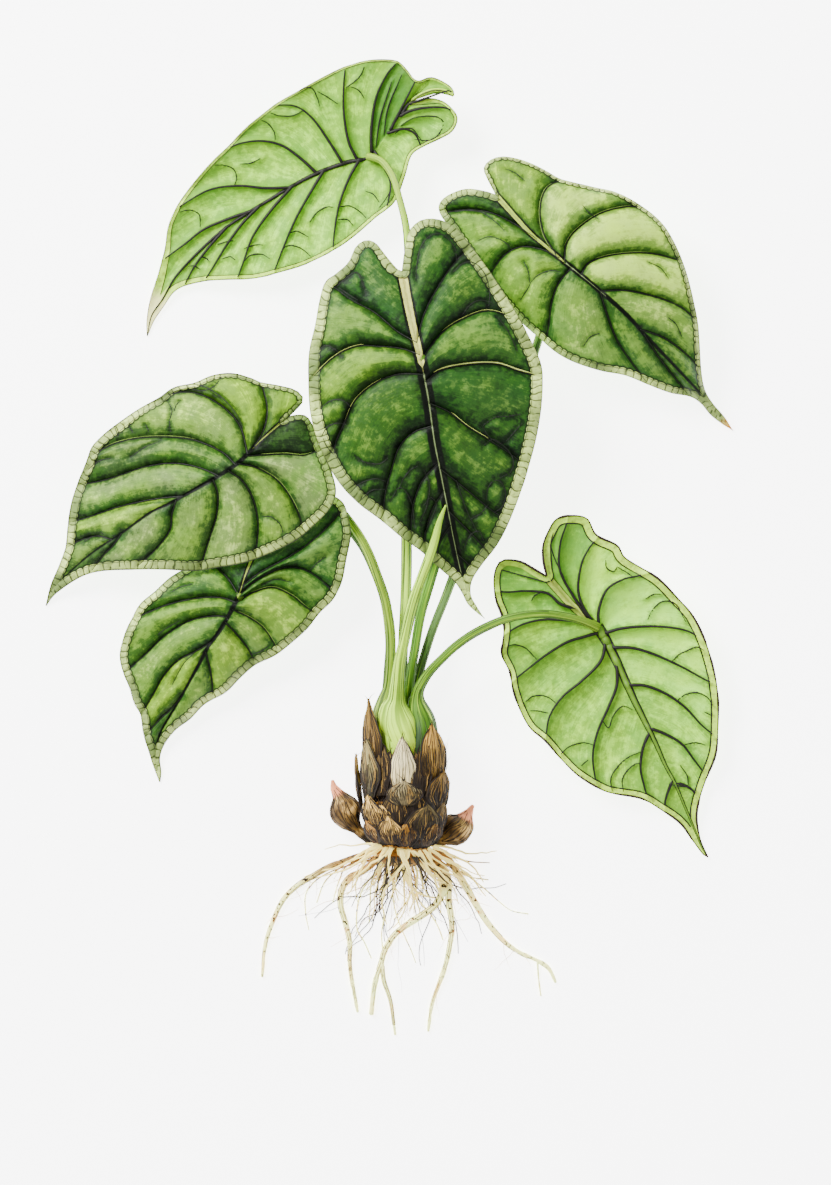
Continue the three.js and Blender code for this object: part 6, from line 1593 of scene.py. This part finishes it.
# The roots: fleshy cream cords from a plate under the corm, bent and tapering, with thin rootlets
# among them. Each has the height at which it leaves the corm, its half width there and at its tip.
ROOT_DROP = 26.0  # how far from the corm a root comes to lie on the surface
roots = [
    (13, 1.9, 0.8, [
        (-9.5, -20), (-21, -24), (-35, -29), (-43, -33.5), (-49.5, -37.5), (-55.5, -43.5),
        (-60, -52.5), (-63.5, -63.5), (-65, -77.5)]),
    (8, 2, 0.8, [
        (-11.5, -23), (-19.5, -30), (-26.5, -34), (-30, -39.5), (-30.5, -46), (-28.5, -53.5),
        (-26.5, -62.5), (-26.5, -72.5), (-25, -82.5), (-23, -93)]),
    (16, 2.2, 1.2, [
        (-3.5, -22), (6, -26.5), (13, -32.5), (14.5, -39), (11.5, -45.5), (6, -50), (-1, -54.5),
        (-7, -59.5), (-11, -66), (-12.5, -71), (-15.5, -81), (-17, -94)]),
    (1.5, 1.3, 0.7, [
        (-12.5, -70), (-11.5, -79), (-8.5, -88.5), (-6.5, -103)]),
    (12, 2.1, 0.8, [
        (4.5, -20), (12.5, -27), (16.5, -34), (17, -44), (18.5, -55), (17.5, -64), (15.5, -73),
        (12.5, -81.5), (9.5, -90.5), (8, -101.5)]),
    (8, 2.2, 0.8, [
        (4, -21), (15, -24.5), (20.5, -31.5), (25.5, -39.5), (30, -47.5), (35, -55), (41.5, -62),
        (48.5, -67), (56, -70.5), (61, -74), (64, -80)]),
    (1.2, 0.7, 0.4, [
        (56, -70.5), (56.5, -78), (57.5, -86)]),
    (12, 0.6, 0.35, [
        (-6, -24.5), (-7, -33), (-7.5, -41), (-6, -50.5), (-2, -60.5), (0.5, -66), (2.5, -71.5)]),
    (15, 0.6, 0.35, [
        (0, -23.5), (2, -33), (3.5, -43), (9, -50), (12.5, -56), (14.5, -61.5)]),
    (16, 0.6, 0.35, [
        (-9.5, -24), (-11.5, -35), (-12.5, -44), (-11.5, -50.5), (-12.5, -59.5), (-11.5, -69)]),
    (9, 0.6, 0.35, [
        (-9, -24.5), (-16.5, -35), (-17.5, -46), (-18, -54)]),
    (8, 0.6, 0.35, [
        (-9, -25), (-21, -39.5), (-23.5, -55), (-20, -62.5), (-17, -69.5)]),
    (9, 0.55, 0.35, [
        (3, -23), (20, -30), (31, -37.5), (38.5, -44), (44.5, -48.5), (52, -50)]),
    (11, 0.55, 0.35, [
        (3.5, -22.5), (18.5, -25), (26.5, -27), (35, -27.5)]),
    (14, 0.55, 0.35, [
        (3.5, -23.5), (17.5, -29), (25.5, -33.5), (34.5, -35)]),
    (9, 0.55, 0.35, [
        (-9.5, -22.5), (-23, -24.5), (-31, -30), (-37.5, -36), (-41, -45)]),
    (14, 0.55, 0.35, [
        (-9.5, -23), (-26.5, -28), (-31, -35), (-34, -45)]),
    (8, 0.5, 0.35, [
        (-9, -23.5), (-35, -31.5), (-45, -39.5), (-46, -48.5), (-44.5, -57)]),
]


def glowing_root_material():
    material, shader, n = new_material("root", 0.75, 0.25)
    grain = streaks(n, 10, 0.8, 11.0)
    place = n.add("ShaderNodeTexCoord").outputs["Object"]
    y = n.add("ShaderNodeSeparateXYZ", {0: place}).outputs["Y"]
    near = n.math("MULTIPLY_ADD", n.cloud(7, 2), 0.012, y)  # greater towards the corm
    color = n.ramp(n.cloud(11, 3), [(0.3, "f3f4e9"), (0.5, "f0f0e2"), (0.7, "e9e4cc")])
    color = n.mix(n.ease(near, -0.038, -0.016), color, paint("c39c62"))
    color = n.mix(n.part(n.ease(near, -0.036, -0.018), 0.75), color, paint("3a2814"))
    color = n.mix(n.part(n.ease(grain, 0.55, 0.68), 0.22), color, paint("c4a878"))
    fleck = n.part(n.ease(n.cloud(1.6, 2), 0.57, 0.62), n.ease(near, -0.100, -0.045))
    color = n.mix(fleck, color, paint("2b1a0e"))
    blush = n.part(n.ease(n.cloud(4, 2), 0.55, 0.68), n.ease(near, -0.09, -0.03))
    blush = n.part(blush, n.ease(near, -0.024, -0.042))
    color = n.mix(n.part(blush, 0.6), color, paint("cf9c70"))
    n.finish(shader, color, grain, 0.5, 0.0004)
    # painted light: the roots glow with their own colour, so they stay pale where the lamps reach
    # little
    n.tree.links.new(color, shader.inputs["Emission Color"])
    shader.inputs["Emission Strength"].default_value = 1.25
    return material


def root_line(start, thick, thin, path):
    """Rows along a root for a tube: it falls from its start to the surface, and tapers."""
    flat = smooth_line(path, max(12, len(path) * 6))
    radius = thick + (thin - thick) * np.linspace(0, 1, len(flat))
    fall = np.maximum(0, 1 - run_along(flat) / ROOT_DROP) ** 1.6
    z = radius + np.maximum(0, start - radius) * fall
    return np.column_stack([flat, z, radius, radius])


glowing_root_skin = glowing_root_material()
pieces = []
for i, (start, thick, thin, path) in enumerate(roots):

    def knobs(run, share):
        fine = noise.noise(Vector((run / 2.5, math.cos(FULL_TURN * share), i)))
        return 0.13 * thick * fine + 0.14 * thick * noise.noise(Vector((run / 6, 0, i + 0.5)))

    slim = 0.85 if thick > 1 else 0.75
    line = root_line(start, thick * slim, thin * slim, path)
    pieces.append(tube("root", line, 12 if thick > 1 else 8, glowing_root_skin, knobs))
bm = bmesh.new()
bmesh.ops.create_uvsphere(bm, u_segments=48, v_segments=32, radius=1, calc_uvs=True)
plate_middle, plate_size = (-3.5, -23.5, 12.5), (11, 5.5, 8.5)
for vert in bm.verts:
    rough = 1 + 0.07 * noise.noise(vert.co * 3) + 0.05 * noise.noise(vert.co * 11)
    x, y, z = (at + size * co * rough for at, size, co in zip(plate_middle, plate_size, vert.co))
    vert.co = Vector((x, y, z)) * MM
pieces.append(piece_of(bm, "root_plate", glowing_root_skin))
root_mass = pieces[0]
with bpy.context.temp_override(
    active_object=root_mass, selected_objects=pieces, selected_editable_objects=pieces
):
    bpy.ops.object.join()
root_mass.name = "root_mass"
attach(root_mass, "root")
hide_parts("roots")

# Fine lines along the thick roots: hair-thin ridges of the skin, browner than the rest, where a
# root has begun to dry and shrink.
runs = []
for start, thick, thin, path in roots:
    if thick < 1:
        continue
    line = root_line(start, thick * 0.85, thin * 0.85, path)
    forward = headings(line[:, :2])
    for turn in (0.25, 1.2, 2.1, 2.85):
        begin = random.randrange(2, len(line) // 3)
        run = []
        for k in range(begin, min(len(line) - 3, begin + random.randrange(20, 60))):
            across = np.array([forward[k][1], -forward[k][0], 0])
            bent = turn + 0.25 * noise.noise(Vector((k / 4, turn, start)))
            spot = line[k, :3] + across * math.cos(bent) * line[k, 3]
            run.append((spot[0], spot[1], spot[2] + math.sin(bent) * line[k, 3], 0.14))
        if len(run) > 3:
            runs.append(run)
strands = cords("root_lines", runs, line_material("root line", "7d6f46", "b9a878", 0.8))
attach(strands, "root")

# The young roots and the rootlets: cream and soft cords close together under the corm, and among
# them hair-thin ones that stray and branch off the thick roots, dark where they have died.
DOWN = -math.pi / 2
YOUNG_ROOTS, ROOTLETS, LONG_ROOTLETS = 40, 130, 16


def stray(x, y, heading, length, steps, waver, pull=0.0, aim=DOWN, bend=0.0):
    """Walks that far in the plane in equal steps. After each it wavers by about that angle, bends,
    and is pulled back a little towards its aim."""
    for step in range(steps + 1):
        yield step, x, y
        heading += bend + random.gauss(0, waver) - pull * (heading - aim)
        x += math.cos(heading) * length / steps
        y += math.sin(heading) * length / steps


young = line_material("young root", "f3f2e4", "dacfa6", 0.8)
# painted light: the young roots glow faintly cream, so they stay pale in the shade under the corm
shader = young.node_tree.nodes["Principled BSDF"]
shader.inputs["Emission Color"].default_value = paint("e9e7cf")
shader.inputs["Emission Strength"].default_value = 0.65
runs = []
for k in range(YOUNG_ROOTS):
    spread = -1 + 2 * (k + random.random()) / YOUNG_ROOTS
    x, y = -3.0 + 11.5 * spread, -17.5 - 3.0 * (1 - spread * spread)
    heading = DOWN + spread * 1.1 + random.gauss(0, 0.08)
    length, width = random.uniform(14, 40), random.uniform(0.4, 0.8)
    height = random.uniform(15, 30) * (1 - 0.25 * spread * spread)
    run = []
    for step, x, y in stray(x, y, heading, length, 14, 0.19, 0.03):
        share = step / 14
        size = width * (1.1 - 0.8 * share) * random.uniform(0.9, 1.12)
        run.append((x, y, max(size, height * max(0, 1 - share * length / 36) ** 1.2), size))
    runs.append(run)
strands = cords("young_roots", runs, young, 2)
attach(strands, "root")

rootlet_dark = line_material("dark rootlet", "2a2a24", "5a4628", 0.8)
rootlet_pale = line_material("pale rootlet", "d9c9a3", "a98a5c", 0.8)
runs = {"dark": [], "pale": []}
for k in range(ROOTLETS):
    spread = random.uniform(-1, 1)
    x, y = -3.5 + 9.5 * spread, -22 - 4 * (1 - spread * spread)
    heading = DOWN + spread * 1.15 + random.gauss(0, 0.12)
    length = random.uniform(10, 30) if k % 3 else random.uniform(30, 62) * (1 - 0.45 * abs(spread))
    height = random.uniform(8, 19)
    width = random.uniform(0.10, 0.24)
    bend = random.gauss(0, 0.05)
    run = []
    for step, x, y in stray(x, y, heading, length, 14, 0.16, 0.04, bend=bend):
        share = step / 14
        z = max(width, height * max(0, 1 - share * length / 22) ** 1.5)
        run.append((x, y, z, width * (1.15 - 0.85 * share)))
    runs["dark" if k % 5 < 2 else "pale"].append(run)
for k in range(LONG_ROOTLETS):
    spread = -0.9 + 1.8 * (k + random.random()) / LONG_ROOTLETS
    heading = DOWN + spread * 0.75 + random.gauss(0, 0.1)
    length = random.uniform(32, 60) * (1 - 0.3 * abs(spread))
    aim = DOWN + spread * 0.5
    run = []
    for step, x, y in stray(-3.0 + 9 * spread, -24.0, heading, length, 18, 0.2, 0.05, aim):
        share = step / 18
        z = max(0.3, 22 * max(0, 1 - share * length / 30) ** 1.4)
        run.append((x, y, z, 0.42 - 0.24 * share))
    runs["dark"].append(run)
for line, count in ((roots[0], 9), (roots[4], 6), (roots[5], 10), (roots[1], 5)):
    spine = root_line(*line)
    for _ in range(count):
        k = random.randrange(8, len(spine) - 4)
        heading = DOWN + random.gauss(0, 0.8)
        length = random.uniform(5, 16)
        run = []
        for step, x, y in stray(*spine[k, :2], heading, length, 7, 0.2):
            z = 0.15 + spine[k, 2] * (1 - step / 7) ** 2 * 0.6
            run.append((x, y, z, 0.12 * (1 - step / 9)))
        runs["pale"].append(run)
for shade, material in (("dark", rootlet_dark), ("pale", rootlet_pale)):
    strands = cords(f"rootlets_{shade}", runs[shade], material)
    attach(strands, "root")

# The surface that the plant is laid on, the light and the viewer: a plain white table, two soft
# lamps, a strong one at the upper left, and a long lens straight above.
floor_material, floor_shader, _ = new_material("pale floor", 0.9, 0.1)
floor_shader.inputs["Base Color"].default_value = (0.9, 0.9, 0.9, 1)
floor_shader.inputs["Emission Color"].default_value = (1, 1, 1, 1)
floor_shader.inputs["Emission Strength"].default_value = 5.5
bm = bmesh.new()
bmesh.ops.create_grid(bm, x_segments=1, y_segments=1, size=3)
floor = piece_of(bm, "floor", floor_material)

world = bpy.data.worlds.new("studio")
bpy.context.scene.world = world
world.use_nodes = True
world.node_tree.nodes["Background"].inputs["Color"].default_value = (1.0, 1.0, 1.0, 1)
world.node_tree.nodes["Background"].inputs["Strength"].default_value = 0.6
LIT_SPOT = Vector((0, 0.09, 0))  # the middle of the plant, in metres
for where, size, power in (((-1.2, 1.3, 1.45), 1.0, 150), ((1.2, -0.4, 1.8), 1.6, 14)):
    light_data = bpy.data.lights.new("soft box", "AREA")
    light_data.size = size
    light_data.energy = power
    lamp = bpy.data.objects.new("soft box", light_data)
    lamp.location = where
    lamp.rotation_euler = (LIT_SPOT - Vector(where)).to_track_quat("-Z", "Y").to_euler()
    bpy.context.scene.collection.objects.link(lamp)
lens = bpy.data.cameras.new("viewer")
lens.lens = 180
lens.clip_end = 10
viewer = bpy.data.objects.new("viewer", lens)
viewer.location = (2.42 * MM, 91.3 * MM, 2.605)
bpy.context.scene.collection.objects.link(viewer)
bpy.context.scene.camera = viewer
